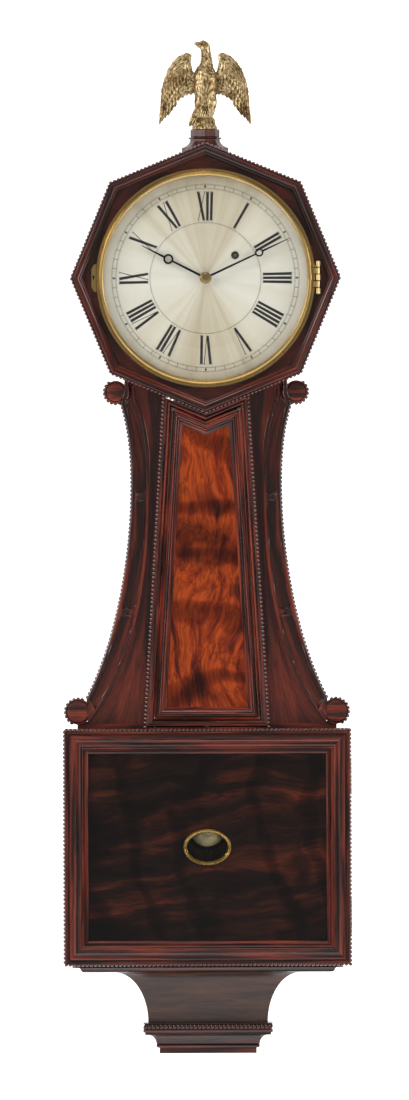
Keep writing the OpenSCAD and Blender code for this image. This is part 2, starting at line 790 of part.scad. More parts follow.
module bezel() {
    color("goldenrod") difference() {
        d = head_depth + gap;
        turned([0, 0], concat(
            [[dial_r, d - 4], [dial_r + 2.4, d - 4], [dial_r + 2.4, d], [bezel_r, d],
                [bezel_r, d + 5], [bezel_r - 0.8, d + 6], [bezel_r - 2.6, d + 6],
                [bezel_r - 3.2, d + 4.6], [bezel_r - 4.2, d + 4.6]],
            [for (a = [0:22.5:180]) [dial_r + 2.6 + 2.6 * cos(a), d + 6.4 + 3.2 * sin(a)]],
            [[dial_r, d + 3]]));
        turned([0, 0], [[dial_r - 1, d + 0.6], [glass_r - 1.4, d + 0.6], [glass_r - 1.4, d + 0.6 + glass_t],
            [dial_r - 1, d + 0.6 + glass_t]]);
    }
}

module bezel_glass() {
    d = head_depth + gap + 0.6;
    r = glass_r - 1.4;
    sphere_r = (r * r + glass_rise * glass_rise) / (2 * glass_rise);
    color([0.8, 0.9, 0.9, 0.3]) turned([0, 0], concat(
        [for (i = [0:10]) let (x = (r - 2.4) * i / 10)
            [x, d + sqrt(sphere_r * sphere_r - x * x) - sphere_r + glass_rise]],
        [[r - 1.2, d], [r, d], [r, d + glass_t], [r - 1.2, d + glass_t]],
        [for (i = [10:-1:0]) let (x = (r - 2.4) * i / 10)
            [x, d + glass_t + sqrt(sphere_r * sphere_r - x * x) - sphere_r + glass_rise]]));
}

module bezel_hinge_leaf() {
    color("goldenrod") {
        for (i = [1, 3]) {
            bezel_knuckle(i, bezel_pin_r + fit);
            z0 = -bezel_hinge_l / 2 + bezel_cuts[i];
            difference() {
                translate([bezel_r - 2.4, -bezel_hinge_d - bezel_knuckle_r, z0 + 0.1])
                    cube([4.4, 1.6, bezel_cuts[i + 1] - bezel_cuts[i] - 0.2]);
                rod([0, 0], bezel_r, head_depth, head_depth + gap + 6);
            }
        }
    }
}

lug_w = 34;
lug_d = head_depth + 6 + gap;

module bezel_lug() {
    color("goldenrod") difference() {
        slab(lug_d - 4, lug_d) difference() {
            polygon([[-bezel_r - 5.4, -lug_w / 2 + 6], [-bezel_r - 2, -lug_w / 2],
                [-bezel_r + 4, -lug_w / 2], [-bezel_r + 4, lug_w / 2], [-bezel_r - 2, lug_w / 2],
                [-bezel_r - 5.4, lug_w / 2 - 6]]);
            circle(r = bezel_r, $fn = 360);
        }
        rod([-bezel_r - 2.9, 2], 1.3, lug_d - 5, lug_d + 1);
        translate([-bezel_r - 3.5, -lug_d - 1, -2]) cube([1.2, 6, 4]);
    }
}

module lock_bolt() {
    color("goldenrod") translate([-bezel_r - 5, -head_depth + 5, -4.6]) cube([4.4, 4, 11]);
    color("goldenrod") translate([-bezel_r - 4, -lug_d + 4.1, -4.6]) cube([3.4, 7.4, 5]);
}

// ---- dial and hands ----

module dial_plate() {
    color("linen") difference() {
        slab(dial_d - dial_t, dial_d) circle(r = dial_seat_r + 5.5, $fn = 96);
        rod([0, 0], 5, dial_d - 3, dial_d + 1);
        rod(winder, 5, dial_d - 3, dial_d + 1);
    }
}

// The printed rings and hour strokes, as a thin layer on the dial
module dial_marks() {
    color("black") slab(dial_d, dial_d + 0.12) {
        for (r = [dial_r * 0.544, dial_r * 0.877, dial_r * 0.916]) difference() {
            circle(r = r + 0.3, $fn = 96);
            circle(r = r - 0.3, $fn = 96);
        }
        strokes = [2, 1, 2, 3, 4, 2, 2, 3, 4, 3, 2, 3];
        for (h = [0:11], i = [0:strokes[h] - 1]) rotate(-30 * h)
            translate([(i - (strokes[h] - 1) / 2) * 4.7 - 1.3, dial_r * 0.565])
                square([2.6, dial_r * 0.27]);
    }
}

module dial_feet() {
    color("goldenrod") for (p = feet_at) rod(p, 2.2, plate_front, dial_d - dial_t);
}

feet_at = [[plate_x[0] + 5, 4], [plate_x[1] - 5, 12], [34, plate_zz[1] - 5]];

hour_turn = -297.1;
minute_turn = -64.9;
hour_d = dial_d + 3.2;
minute_d = hour_d + 4.4;
hand_t = 1.7;
minute_l = dial_r - 12.2;                // the minute hand's tip stops short of the dial's edge
minute_ring = minute_l - 40.9;
hour_l = dial_r - 38;
hour_ring = hour_l - 37.2;
pipe_r = 4;
cannon_r = 2.8;
centre_r = 1.9;

// A tapering hand with an open ring near its tip
module hand(d, turn, length, ring_at, ring_r, hub, bore, tail_w) {
    difference() {
        slab(d, d + hand_t) rotate(turn) {
            circle(r = hub);
            polygon([[-tail_w, 0], [tail_w, 0], [tail_w * 0.7, ring_at - ring_r * 0.8],
                [-tail_w * 0.7, ring_at - ring_r * 0.8]]);
            difference() {
                translate([0, ring_at]) circle(r = ring_r);
                translate([0, ring_at]) circle(r = ring_r * 0.62);
            }
            polygon([[-tail_w * 0.9, ring_at + ring_r * 0.8], [tail_w * 0.9, ring_at + ring_r * 0.8],
                [0.4, length], [-0.4, length]]);
        }
        rod([0, 0], bore, d - 1, d + 3);
    }
}

module hour_hand() {
    color("darkslateblue") hand(hour_d, hour_turn, hour_l, hour_ring, 6.35, 6, pipe_r, 1.6);
}

module minute_hand() {
    color("darkslateblue") hand(minute_d, minute_turn, minute_l, minute_ring, 5.25, 5, cannon_r, 1.4);
}

module hand_collet() {
    color("goldenrod") {
        turned([0, 0], concat([[0, minute_d + hand_t], [7.2, minute_d + hand_t]],
            [for (a = [10:20:90]) [7.4 * cos(a), minute_d + hand_t + 1 + 2.4 * sin(a)]]));
    }
}

// ---- movement ----

module plate_outline() {
    translate([plate_x[0], plate_zz[0]])
        square([plate_x[1] - plate_x[0], plate_zz[1] - plate_zz[0]]);
}

posts = [for (x = [plate_x[0] + post_in, plate_x[1] - post_in],
    z = [plate_zz[0] + post_in, plate_zz[1] - post_in]) [x, z]];
post_r = 4.5;
spigot_r = 2.5;
pivot_r = 1;
hour_pinion_d = plate_front + 6.6;

module back_plate() {
    color("gold") difference() {
        slab(plate_back, plate_in) plate_outline();
        for (p = posts) rod(p, spigot_r, 0, plate_in + 1);
        for (p = [arbor, third_at, escape_at, pallet_at]) rod(p, pivot_r + fit, 0, plate_in + 1);
        rod(winder, 1.6 + fit, 0, plate_in + 1);
        for (s = [-1, 1]) rod([s * 20, -36], 2, 0, plate_in + 1);
    }
    color("gold") rod(cord_end, 2, plate_in, cord_d - 1);
}

module front_plate() {
    color("gold") difference() {
        slab(plate_out, plate_front) plate_outline();
        for (p = posts) rod(p, spigot_r, plate_out - 1, plate_front + 1);
        for (p = [third_at, escape_at]) rod(p, pivot_r + fit, plate_out - 1, plate_front + 1);
        rod(pallet_at, 1.6 + fit, plate_out - 1, plate_front + 1);
        rod(arbor, centre_r + fit, plate_out - 1, plate_front + 1);
        rod(winder, wind_arbor_r + fit, plate_out - 1, plate_front + 1);
    }
    color("gold") rod(minute_at, 1.1, plate_front, plate_front + 6.3);
}

module pillars() {
    color("gold") for (p = posts) {
        turned(p, [[0, back_t], [spigot_r, back_t], [spigot_r, plate_in], [post_r, plate_in],
            [post_r, plate_in + 5], [post_r - 1.2, plate_in + 8], [post_r - 1.2, plate_out - 8],
            [post_r, plate_out - 5], [post_r, plate_out], [spigot_r, plate_out],
            [spigot_r, plate_front + 1.6], [0, plate_front + 1.6]]);
    }
}

great_d = plate_in + 2.4;
great_face = bearing(winder, arbor);

module great_wheel() {
    color("gold") difference() {
        wheel_at(winder, 96, m_great, great_d, great_d + 3, great_face, 22, 5);
        rod(winder, wind_arbor_r + fit, great_d - 1, great_d + 4);
    }
    color("gold") rod(click_pivot, 1.3, great_d + 3, great_d + 5.6);
}

ratchet_r = 12.5;
ratchet_d = great_d + 3.2;
click_pivot = winder + 18.6 * [cos(150), sin(150)];

module winding_drum() {
    color("gray") {
        rod(winder, 1.6, plate_back, plate_in + 1.4);
        rod(winder, wind_arbor_r, plate_in + 1.4, plate_front + 8);
        translate([winder[0], -dial_d + 2.5, winder[1]]) rotate([90, wind_a, 0]) mirror([0, 0, 1])
            translate([-wind_square / 2, -wind_square / 2, 0])
                cube([wind_square, wind_square, dial_d - plate_front - 8 - 2.5]);
        slab(ratchet_d, ratchet_d + 2) translate(winder)
            polygon([for (i = [0:23], k = [0, 1])
                (k == 0 ? ratchet_r : ratchet_r - 1.6) * [cos(15 * i + 14 * k), sin(15 * i + 14 * k)]]);
    }
    color("gold") {
        turned(winder, [[0, ratchet_d + 2], [drum_r + 2.2, ratchet_d + 2],
            [drum_r + 2.2, ratchet_d + 3.4], [drum_r, ratchet_d + 3.4], [drum_r, plate_out - 5],
            [drum_r + 2.2, plate_out - 5], [drum_r + 2.2, plate_out - 3.6], [0, plate_out - 3.6]]);
    }
}

module click() {
    color("gray") difference() {
        union() {
            rod(click_pivot, 2.8, ratchet_d, ratchet_d + 2);
            slab(ratchet_d, ratchet_d + 2) polygon([click_pivot + [-2, 1], click_pivot + [2.4, 0],
                winder + (ratchet_r + 0.3) * [cos(176), sin(176)],
                winder + (ratchet_r + 2.4) * [cos(182), sin(182)]]);
        }
        rod(click_pivot, 1.3 + fit, ratchet_d - 1, ratchet_d + 3);
    }
}

centre_wheel_d = plate_out - 9;
third_wheel_d = plate_in + 14;
escape_wheel_d = plate_out - 4.4;

module centre_wheel() {
    color("gold") wheel_at(arbor, 80, m_centre, centre_wheel_d, centre_wheel_d + 1.8,
        bearing(arbor, third_at), 5, 5);
    color("gray") {
        rod(arbor, pivot_r, plate_back, plate_in + 0.4);
        rod(arbor, centre_r, plate_in + 0.4, minute_d + hand_t);
        pinion_at(arbor, 8, m_great, great_d - 1, great_d + 5, bearing(arbor, winder));
    }
}

module third_wheel() {
    color("gold") wheel_at(third_at, 56, m_third, third_wheel_d, third_wheel_d + 1.6,
        bearing(third_at, escape_at), 4, 4);
    color("gray") {
        rod(third_at, pivot_r, plate_back, plate_front);
        rod(third_at, 1.6, plate_in + 0.4, plate_out - 0.4);
        pinion_at(third_at, 8, m_centre, centre_wheel_d - 2, centre_wheel_d + 4,
            bearing(third_at, arbor));
    }
}

module escape_wheel() {
    color("gold") slab(escape_wheel_d, escape_wheel_d + 1.4) translate(escape_at) difference() {
        polygon([for (i = [0:29], k = [0:2])
            [escape_r, escape_r - 0.4, escape_r - 2.4][k]
                * [cos(12 * i + [0, 1.6, 4][k]), sin(12 * i + [0, 1.6, 4][k])]]);
        difference() {
            circle(r = escape_r - 4);
            circle(r = 3);
            for (i = [0:3]) rotate(90 * i) translate([0, -1]) square([escape_r, 2]);
        }
    }
    color("gray") {
        rod(escape_at, pivot_r, plate_back, plate_front);
        rod(escape_at, 1.5, plate_in + 0.4, plate_out - 0.4);
        pinion_at(escape_at, 8, m_third, third_wheel_d - 2, third_wheel_d + 4,
            bearing(escape_at, third_at));
    }
}

module pallets() {
    lean = bearing(pallet_at, escape_at) + 90;
    color("gray") {
        rod(pallet_at, pivot_r, plate_back, plate_in + 0.4);
        rod(pallet_at, 1.6, plate_in + 0.4, plate_front + 9);
        slab(escape_wheel_d - 0.8, escape_wheel_d + 2.2) translate(pallet_at) rotate(lean) {
            circle(r = 3.4);
            for (s = [-1, 1]) mirror([s < 0 ? 1 : 0, 0])
                polygon([[0, 3.2], [8, 0.6], [12.6, -5.6], [9.6, -8.0], [9.1, -7.2], [6, -2.8], [0, -1.6]]);
        }
        crutch_d = plate_front + 6;
        slab(crutch_d, crutch_d + 1.4) translate(pallet_at) {
            circle(r = 3);
            translate([-1.3, -22]) square([2.6, 22]);
            translate([-4.2, -24.6]) square([8.4, 3]);
        }
        for (s = [-1, 1]) translate([s * 3.2 - 0.8, -rod_d - 2, susp_h - 24.6])
            cube([1.6, rod_d + 2 - crutch_d - 0.7, 3]);
    }
}

module cannon_pinion() {
    color("gold") difference() {
        union() {
            slab(plate_front + 1.2, plate_front + 4) rotate(bearing(arbor, minute_at))
                wheel_teeth(28, m_minute);
            rod(arbor, cannon_r, plate_front + 1, minute_d + hand_t);
        }
        rod(arbor, centre_r, plate_front, minute_d + 3);
    }
}

module minute_wheel() {
    color("gold") difference() {
        union() {
            slab(plate_front + 1.4, plate_front + 3.6) translate(minute_at)
                rotate(bearing(minute_at, arbor) + 180 / 42) wheel_teeth(42, m_minute);
            slab(plate_front + 3.6, plate_front + 9.6) translate(minute_at)
                rotate(bearing(minute_at, arbor) + 180 / 7) leaf_teeth(7, m_hour);
        }
        rod(minute_at, 1.1 + fit, plate_front, plate_front + 6.4);
    }
}

module hour_wheel() {
    color("gold") difference() {
        union() {
            slab(hour_pinion_d, hour_pinion_d + 1.8) rotate(bearing(arbor, minute_at))
                wheel_teeth(56, m_hour);
            rod(arbor, pipe_r, plate_front + 5, hour_d + hand_t);
        }
        rod(arbor, cannon_r + fit, plate_front + 4, hour_d + 3);
    }
}

// ---- pendulum ----

cock_h = 12;

module suspension_cock() {
    color("gold") {
        translate([-16, -rod_d - 4, susp_h + 4]) difference() {
            cube([32, rod_d + 4 - plate_front, cock_h]);
            translate([5, 8.5, -1]) cube([22, rod_d, cock_h + 2]);
            translate([15.2, -1, -1]) cube([1.6, 11, 6]);
        }
    }
}

module pendulum_rod() {
    color("gray") translate([-0.25, -rod_d - 3, susp_h - 6]) cube([0.5, 6, 14]);
    color("gold") difference() {
        slab(rod_d - 0.8, rod_d + 0.8) {
            polygon([[-2, susp_h - 6], [-2, 18], [-11.5, 13], [-9.5, -15], [-2, -19],
                [-2, bob_z + bob_r + 4], [2, bob_z + bob_r + 4], [2, -19], [9.5, -15],
                [11.5, 13], [2, 18], [2, susp_h - 6]]);
        }
        slab(rod_d - 2, rod_d + 2)
            polygon([[-9, 12], [-7.4, -13.4], [7.4, -13.4], [9, 12]]);
    }
    color("gray") translate([0, -rod_d, bob_z - 12])
        cylinder(r = 1.5, h = bob_r + 16);
}

module pendulum_bob() {
    color("goldenrod") difference() {
        turned([0, bob_z], [[0, rod_d - bob_t / 2], [bob_r * 0.42, rod_d - bob_t / 2],
            [bob_r * 0.82, rod_d - bob_t * 0.3], [bob_r, rod_d], [bob_r * 0.82, rod_d + bob_t * 0.3],
            [bob_r * 0.42, rod_d + bob_t / 2], [0, rod_d + bob_t / 2]]);
        translate([0, -rod_d, bob_z - 14]) cylinder(r = 1.5 + fit, h = 12);
        translate([0, -rod_d, bob_z + 2]) cylinder(r = 1.5 + fit, h = bob_r + 4);
        translate([-6, -rod_d - bob_t, bob_z - 5]) cube([12, 2 * bob_t, 10]);
    }
}

module rating_nut() {
    color("goldenrod") translate([0, -rod_d, bob_z - 1]) difference() {
        cylinder(r = 4.5, h = 5.5);
        translate([0, 0, -1]) cylinder(r = 1.5 + fit, h = 8);
    }
}

// ---- weight ----

weight_top = pulley_at[1] - 30;

module weight() {
    color("dimgray") {
        translate([pulley_at[0] - weight_w / 2, -cord_d - 17, weight_top - weight_h])
            cube([weight_w, 34, weight_h]);
        for (s = [-1, 1]) translate([pulley_at[0] - 4, -cord_d - 1.5 + s * 5.5, weight_top])
            difference() {
                cube([8, 3, 34]);
                translate([4, 4, 30]) rotate([90, 0, 0]) cylinder(r = 1.5 + fit, h = 6);
            }
    }
}

module pulley() {
    color("goldenrod") difference() {
        turned(pulley_at, [[0, cord_d - 3], [pulley_r + 1.6, cord_d - 3], [pulley_r + 1.6, cord_d - 2],
            [pulley_r - 1.1, cord_d - 1.1], [pulley_r - 1.1, cord_d + 1.1],
            [pulley_r + 1.6, cord_d + 2], [pulley_r + 1.6, cord_d + 3], [0, cord_d + 3]]);
    }
    color("gray") rod(pulley_at, 1.5, cord_d - 8, cord_d + 8);
}

module cord() {
    color("tan") {
        for (e = [[cord_x, winder[1]], cord_end])
            translate([e[0], -cord_d, pulley_at[1]]) cylinder(r = cord_r, h = e[1] - pulley_at[1], $fn = 16);
        translate([pulley_at[0], -cord_d, pulley_at[1]]) rotate([90, 0, 0])
            rotate_extrude(angle = -180, $fn = 48) translate([pulley_r, 0]) circle(r = cord_r, $fn = 16);
    }
}

// ---- drawing ----

back_board();
head_case();
head_front();
head_moulding();
head_beading();
trunk_sides();
trunk_frame();
trunk_panel();
scroll_left();
scroll_right();
case_beading();
scroll_bosses();
box_case();
base_moulding();
drop_bracket();
bracket_foot();
finial_plinth();
eagle_finial();
hanger_plate();
case_screws();
fixed_hinge_leaves();
hinge_pins();
weight_guard();
box_door_frame();
box_door_beading();
box_door_panel();
window_ring();
window_glass();
door_hinge_leaves();
bezel();
bezel_glass();
bezel_hinge_leaf();
bezel_lug();
lock_bolt();
dial_plate();
dial_feet();
hour_hand();
minute_hand();
hand_collet();
back_plate();
front_plate();
pillars();
great_wheel();
winding_drum();
click();
centre_wheel();
third_wheel();
escape_wheel();
pallets();
cannon_pinion();
minute_wheel();
hour_wheel();
suspension_cock();
pendulum_rod();
pendulum_bob();
rating_nut();
weight();
pulley();
cord();
dial_marks();
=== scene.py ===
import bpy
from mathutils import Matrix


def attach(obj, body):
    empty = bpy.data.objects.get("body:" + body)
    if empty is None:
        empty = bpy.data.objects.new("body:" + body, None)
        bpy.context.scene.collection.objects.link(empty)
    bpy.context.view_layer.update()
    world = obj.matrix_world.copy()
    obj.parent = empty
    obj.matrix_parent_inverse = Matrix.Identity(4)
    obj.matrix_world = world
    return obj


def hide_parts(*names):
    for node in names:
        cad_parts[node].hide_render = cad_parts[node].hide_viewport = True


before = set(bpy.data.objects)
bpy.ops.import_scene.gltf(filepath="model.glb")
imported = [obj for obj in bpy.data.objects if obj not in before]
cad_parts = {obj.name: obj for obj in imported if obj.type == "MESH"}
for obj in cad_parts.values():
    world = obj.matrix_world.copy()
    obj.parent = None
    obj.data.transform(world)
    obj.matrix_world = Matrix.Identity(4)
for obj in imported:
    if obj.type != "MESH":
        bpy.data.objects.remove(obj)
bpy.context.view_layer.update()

import math

import bpy
import numpy as np
from mathutils import Vector

# ---- Head: moulding and beads ----
# The head is an octagonal box of pine faced with rosewood. Its edge moulding was run in one length,
# mitred at the eight corners and glued down, and a carved bead strip was let in round its outer edge.

HEAD_R = 167.5
HEAD_DEPTH = 104.0
BEAD_PITCH = 5.2
BEAD_W = 4.16
BEAD_OUT = 2.08
BEAD_SEAT = 2.16


def tone(red, green, blue):
    """A colour as it looks on a screen, 0 to 255, turned into the shader's own linear values."""
    seen = np.array([red, green, blue]) / 255
    return (*np.where(seen <= 0.04045, seen / 12.92, ((seen + 0.055) / 1.055) ** 2.4).tolist(), 1)


def finish(name, **values):
    """A material with one Principled shader, and each named socket set to its one value."""
    material = bpy.data.materials.new(name)
    material.use_nodes = True
    shader = material.node_tree.nodes["Principled BSDF"]
    for socket, value in values.items():
        shader.inputs[socket.replace("_", " ")].default_value = value
    return material, shader


def node(material, kind, inputs=(), **settings):
    """A shader node of one kind; an input is a value, or the output of another node that feeds it."""
    made = material.node_tree.nodes.new("ShaderNode" + kind)
    for key, value in settings.items():
        setattr(made, key, value)
    for key, value in dict(inputs).items():
        if isinstance(value, bpy.types.NodeSocket):
            material.node_tree.links.new(value, made.inputs[key])
        else:
            made.inputs[key].default_value = value
    return made


def ramp(material, factor, stops):
    """A row of colours along a factor, as (place, colour) stops."""
    made = node(material, "ValToRGB", {"Fac": factor})
    row = made.color_ramp.elements
    row[0].position, row[0].color = stops[0]
    row[1].position, row[1].color = stops[-1]
    for place, colour in stops[1:-1]:
        row.new(place).color = colour
    return made.outputs[0]


def noise(material, place, scale=1.0, detail=2.0, **more):
    """Cloudy noise at a place; any other socket of the noise is named and given its value."""
    return node(material, "TexNoise", {"Vector": place, "Scale": scale, "Detail": detail, **more}).outputs[0]


def mapped(material, place, **change):
    """A place scaled, turned or shifted, as the mapping's own sockets say."""
    return node(material, "Mapping", {"Vector": place, **change}).outputs[0]


def own_place(material):
    """A point's place on its own piece, in metres."""
    return node(material, "TexCoord").outputs["Object"]


def darkened(material, share, under, over):
    """A colour multiplied by another one, by a share."""
    made = node(material, "Mix", {0: share, 6: under, 7: over}, data_type="RGBA", blend_type="MULTIPLY")
    return made.outputs[2]


def dress(material, shader, colour=None, rough=None, dent=None, span=(0.0, 1.0)):
    """Feeds a shader: its colour, a roughness (pattern, low, high) that follows a pattern over a span
    of its values, and dents (pattern, strength, depth in metres)."""
    links = material.node_tree.links
    if colour is not None:
        links.new(colour, shader.inputs["Base Color"])
    if rough is not None:
        pattern, low, high = rough
        swing = node(material, "MapRange", {"Value": pattern, "From Min": span[0], "From Max": span[1],
                                            "To Min": low, "To Max": high})
        links.new(swing.outputs[0], shader.inputs["Roughness"])
    if dent is not None:
        pattern, strength, depth = dent
        bump = node(material, "Bump", {"Strength": strength, "Distance": depth, "Height": pattern})
        links.new(bump.outputs[0], shader.inputs["Normal"])
    return material


def skins(grid, wrap=False, shift=0.0):
    """Closed skins over grids of points, in millimetres, as (pieces, rows, columns, [x, depth, height]).
    Columns run round a piece and join. Rows join too where wrap is set, or else the end rows are
    closed flat. The UV of a point is its distance along the rows and round the columns, in metres."""
    count, rows, columns = grid.shape[:3]
    index = np.arange(count * rows * columns).reshape(count, rows, columns)
    index = np.concatenate([index, index[:, :, :1]], 2)

    def corner(values):
        return np.stack([values[:, :-1, :-1], values[:, :-1, 1:], values[:, 1:, 1:], values[:, 1:, :-1]], 3)

    along = np.linalg.norm(np.diff(grid.mean(2), axis=1, append=grid.mean(2)[:, :1]), axis=2)
    along = np.concatenate([np.zeros((count, 1)), along.cumsum(1)], 1)
    round_it = np.linalg.norm(np.diff(grid, axis=2, append=grid[:, :, :1]), axis=3).mean(1)
    round_it = np.concatenate([np.zeros((count, 1)), round_it.cumsum(1)], 1)
    if wrap:
        index = np.concatenate([index, index[:, :1]], 1)
    last = index.shape[1]
    u = np.broadcast_to(along[:, :last, None], index.shape) + shift
    v = np.broadcast_to(round_it[:, None, :], index.shape)
    faces = [corner(index).reshape(-1, 4)]
    uvs = [np.stack([corner(u), corner(v)], 4).reshape(-1, 4, 2) / 1000]
    if not wrap:
        for end in (index[:, 0, -2::-1], index[:, -1, :-1]):
            faces.append(end)
            uvs.append(grid.reshape(-1, 3)[end][:, :, [0, 2]] / 1000)
    return grid.reshape(-1, 3), faces, uvs


def raised(flat, depth):
    """Points of (x, height) given a depth, which makes them (x, depth, height)."""
    return np.stack([flat[..., 0], np.broadcast_to(depth, flat.shape[:-1]), flat[..., 1]], -1)


def slab(corners, back, front, shift=0.0):
    """A flat block with an outline of (x, height) corners, from one depth to another."""
    corners = np.asarray(corners, float)
    return skins(np.stack([raised(corners, back), raised(corners, front)])[None], shift=shift)


def mitred(path, section, shift=0.0):
    """A section of (inset, depth) points carried round a closed path of (x, height) corners. At each
    corner the section lies in the mitre, the path moved in by the inset over the cosine of half the
    turn. The UV runs straight along each side, so every length has its own straight grain."""
    path, section = np.asarray(path, float), np.asarray(section, float)
    side = np.roll(path, -1, 0) - path
    side /= np.linalg.norm(side, axis=1)[:, None]
    inward = np.stack([-side[:, 1], side[:, 0]], 1)
    step = np.roll(inward, 1, 0) + inward
    step /= 1 + (np.roll(inward, 1, 0) * inward).sum(1)[:, None]
    flat = path[:, None] + section[None, :, :1] * step[:, None]
    points, faces, uvs = skins(raised(flat, section[:, 1])[None], wrap=True)
    sides = np.repeat(np.arange(len(path)), len(section))
    reach = (points[faces[0]][:, :, [0, 2]] * side[sides][:, None]).sum(2)
    uvs[0][:, :, 0] = (reach + shift + 517 * sides[:, None]) / 1000
    return points, faces, uvs


def piece(name, parts, material, body, slot, *stands_for, sharp=32):
    """One object from several skins, with its faces turned outwards by the sign of its volume and
    its edges sharp where they turn by more than an angle."""
    start, polygons, loops = 0, [], []
    for points, faces, uvs in parts:
        volume = 0
        for ring in (points[face] for face in faces):
            for k in range(1, ring.shape[1] - 1):
                volume += np.einsum("ij,ij->i", ring[:, 0], np.cross(ring[:, k], ring[:, k + 1])).sum()
        turn = slice(None, None, 1 if volume < 0 else -1)
        for face, uv in zip(faces, uvs):
            polygons += (face[:, turn] + start).tolist()
            loops.append(uv[:, turn].reshape(-1, 2))
        start += len(points)
    place = np.concatenate([part[0] for part in parts]) * [0.001, -0.001, 0.001]
    mesh = bpy.data.meshes.new(name)
    mesh.from_pydata(place, [], polygons)
    mesh.uv_layers.new(name="grain").data.foreach_set("uv", np.concatenate(loops).ravel())
    mesh.shade_smooth()
    mesh.set_sharp_from_angle(angle=math.radians(sharp))
    mesh.materials.append(material)
    made = bpy.data.objects.new(name, mesh)
    bpy.context.scene.collection.objects.link(made)
    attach(made, body)
    if stands_for:
        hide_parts(*stands_for)
    return made


def polished_wood(name, stops, grain="UV", turn=(0, 0, 0), streak=70.0, wander=0.6, gloss=0.26,
                  varnish=0.35, shine=0.35):
    """French polished wood. Noise stretched twelve times along the grain gives the streaks and their
    colour, finer noise stretched thirty times gives open pores that darken and dent the surface."""
    material, shader = finish(name, Coat_Weight=varnish, Coat_Roughness=0.12, Specular_IOR_Level=shine)
    source = node(material, "UVMap", uv_map="grain").outputs[0] if grain == "UV" else own_place(material)
    place = mapped(material, source, Rotation=turn)
    figure = noise(material, mapped(material, place, Scale=(streak / 12, streak, streak)), detail=6.0,
                   Roughness=0.62, Distortion=wander)
    pores = noise(material, mapped(material, place, Scale=(55, 1700, 1700)))
    open_pores = ramp(material, pores, [(0.36, (0.35, 0.3, 0.3, 1)), (0.5, (1, 1, 1, 1))])
    colour = darkened(material, 0.65, ramp(material, figure, stops), open_pores)
    return dress(material, shader, colour, (figure, gloss, gloss + 0.16), (pores, 0.25, 0.0004), (0.3, 0.7))


def shaded(colour, factor):
    """A colour made darker or lighter by a factor."""
    return (*(factor * part for part in colour[:3]), 1)


def rosewood(name, shade=1.0, **settings):
    """The case's dark rosewood, black and red-brown in straight streaks, darker or lighter by a factor."""
    stops = [(0.30, tone(14, 6, 5)), (0.45, tone(58, 20, 12)), (0.56, tone(122, 42, 22)),
             (0.70, tone(156, 66, 34))]
    return polished_wood(name, [(place, shaded(colour, shade)) for place, colour in stops], **settings)


def octagon(radius):
    """The eight corners of an octagon that stands on a corner, from the top round to the left."""
    turn = np.radians(90 + 45 * np.arange(8))
    return radius * np.stack([np.cos(turn), np.sin(turn)], 1)


def arc(radius, start, stop, steps):
    """Points round an arc, in degrees, as two columns."""
    turn = np.radians(np.linspace(start, stop, steps))
    return radius * np.stack([np.cos(turn), np.sin(turn)], 1)


def hollow_and_round(points, steps=5):
    """A moulding's section from its corners. A corner given as (inset, depth, bulge) is reached by a
    curve that stands off the chord by bulge times half a sine, and a plain one by a straight line."""
    out = [np.array(points[0][:2], float)[None]]
    for before, here in zip(points[:-1], points[1:]):
        a, b = np.array(before[:2], float), np.array(here[:2], float)
        bulge = here[2] if len(here) > 2 else 0
        t = np.linspace(0, 1, steps + 1 if bulge else 2)[1:, None]
        normal = np.array([[-(b - a)[1], (b - a)[0]]]) / np.linalg.norm(b - a)
        out.append(a + t * (b - a) + bulge * np.sin(math.pi * t) * normal)
    return np.concatenate(out)


def bead_row(path, depth, closed=False):
    """A run of carved beads along a path of (x, height) points, on the corner of their glued strip,
    their middles at one depth. They stand in equal steps of the path's length; each is a ball a little
    shorter along the run than the step, and skewed along it by a seventh of its width."""
    path = np.asarray(path, float)
    if closed:
        path = np.concatenate([path, path[:1]])
    lengths = np.linalg.norm(np.diff(path, axis=0), axis=1)
    reach = np.concatenate([[0], lengths.cumsum()])
    count = max(1, round(reach[-1] / BEAD_PITCH))
    at = (np.arange(count) + 0.5) * reach[-1] / count
    centre = np.stack([np.interp(at, reach, path[:, k]) for k in (0, 1)], 1)
    leg = np.clip(np.searchsorted(reach, at) - 1, 0, len(lengths) - 1)
    run = (np.diff(path, axis=0) / lengths[:, None])[leg]
    out = np.stack([-run[:, 1], run[:, 0]], 1)
    rise = np.radians(np.linspace(8, 172, 6))
    turn = np.radians(np.arange(0, 360, 45))
    up = np.sin(rise)[:, None] * np.sin(turn) * BEAD_W / 2
    front = np.sin(rise)[:, None] * np.cos(turn) * BEAD_W / 2
    along = -np.cos(rise)[:, None] * np.ones(8) * 0.45 * BEAD_PITCH + 0.14 * up
    flat = centre[:, None, None] + run[:, None, None] * along[..., None] + out[:, None, None] * up[..., None]
    return [skins(raised(flat, depth + front))]


BLACKENED = rosewood("rosewood_beads", 0.5, streak=160.0, gloss=0.2, varnish=0.7)
MOULDING = rosewood("rosewood_moulding", 0.38, varnish=0.5)

head_rim = hollow_and_round([
    (BEAD_SEAT, 0), (BEAD_SEAT, 8), (3.2, 9, -0.3), (5.0, 8.7), (5.6, 7.2), (6.4, 7.2), (10.0, 3.6, 1.1),
    (10.4, 2.6), (12.8, 2.4, -0.7), (14.0, 1.2), (14.0, 0)]) + [0, HEAD_DEPTH]
piece("head_rim_moulding", [mitred(octagon(HEAD_R), head_rim)], MOULDING, "case", "rosewood", "head_moulding")

bead_ledge = np.array([[0.0, 0], [BEAD_SEAT, 0], [BEAD_SEAT, BEAD_W + 1.2], [0.3, BEAD_W + 1.2]])
piece("head_bead_strip",
      [mitred(octagon(HEAD_R), bead_ledge + [0, HEAD_DEPTH])]
      + bead_row(octagon(HEAD_R - 0.3), HEAD_DEPTH + 5.0, closed=True),
      BLACKENED, "case", "rosewood", "head_beading")


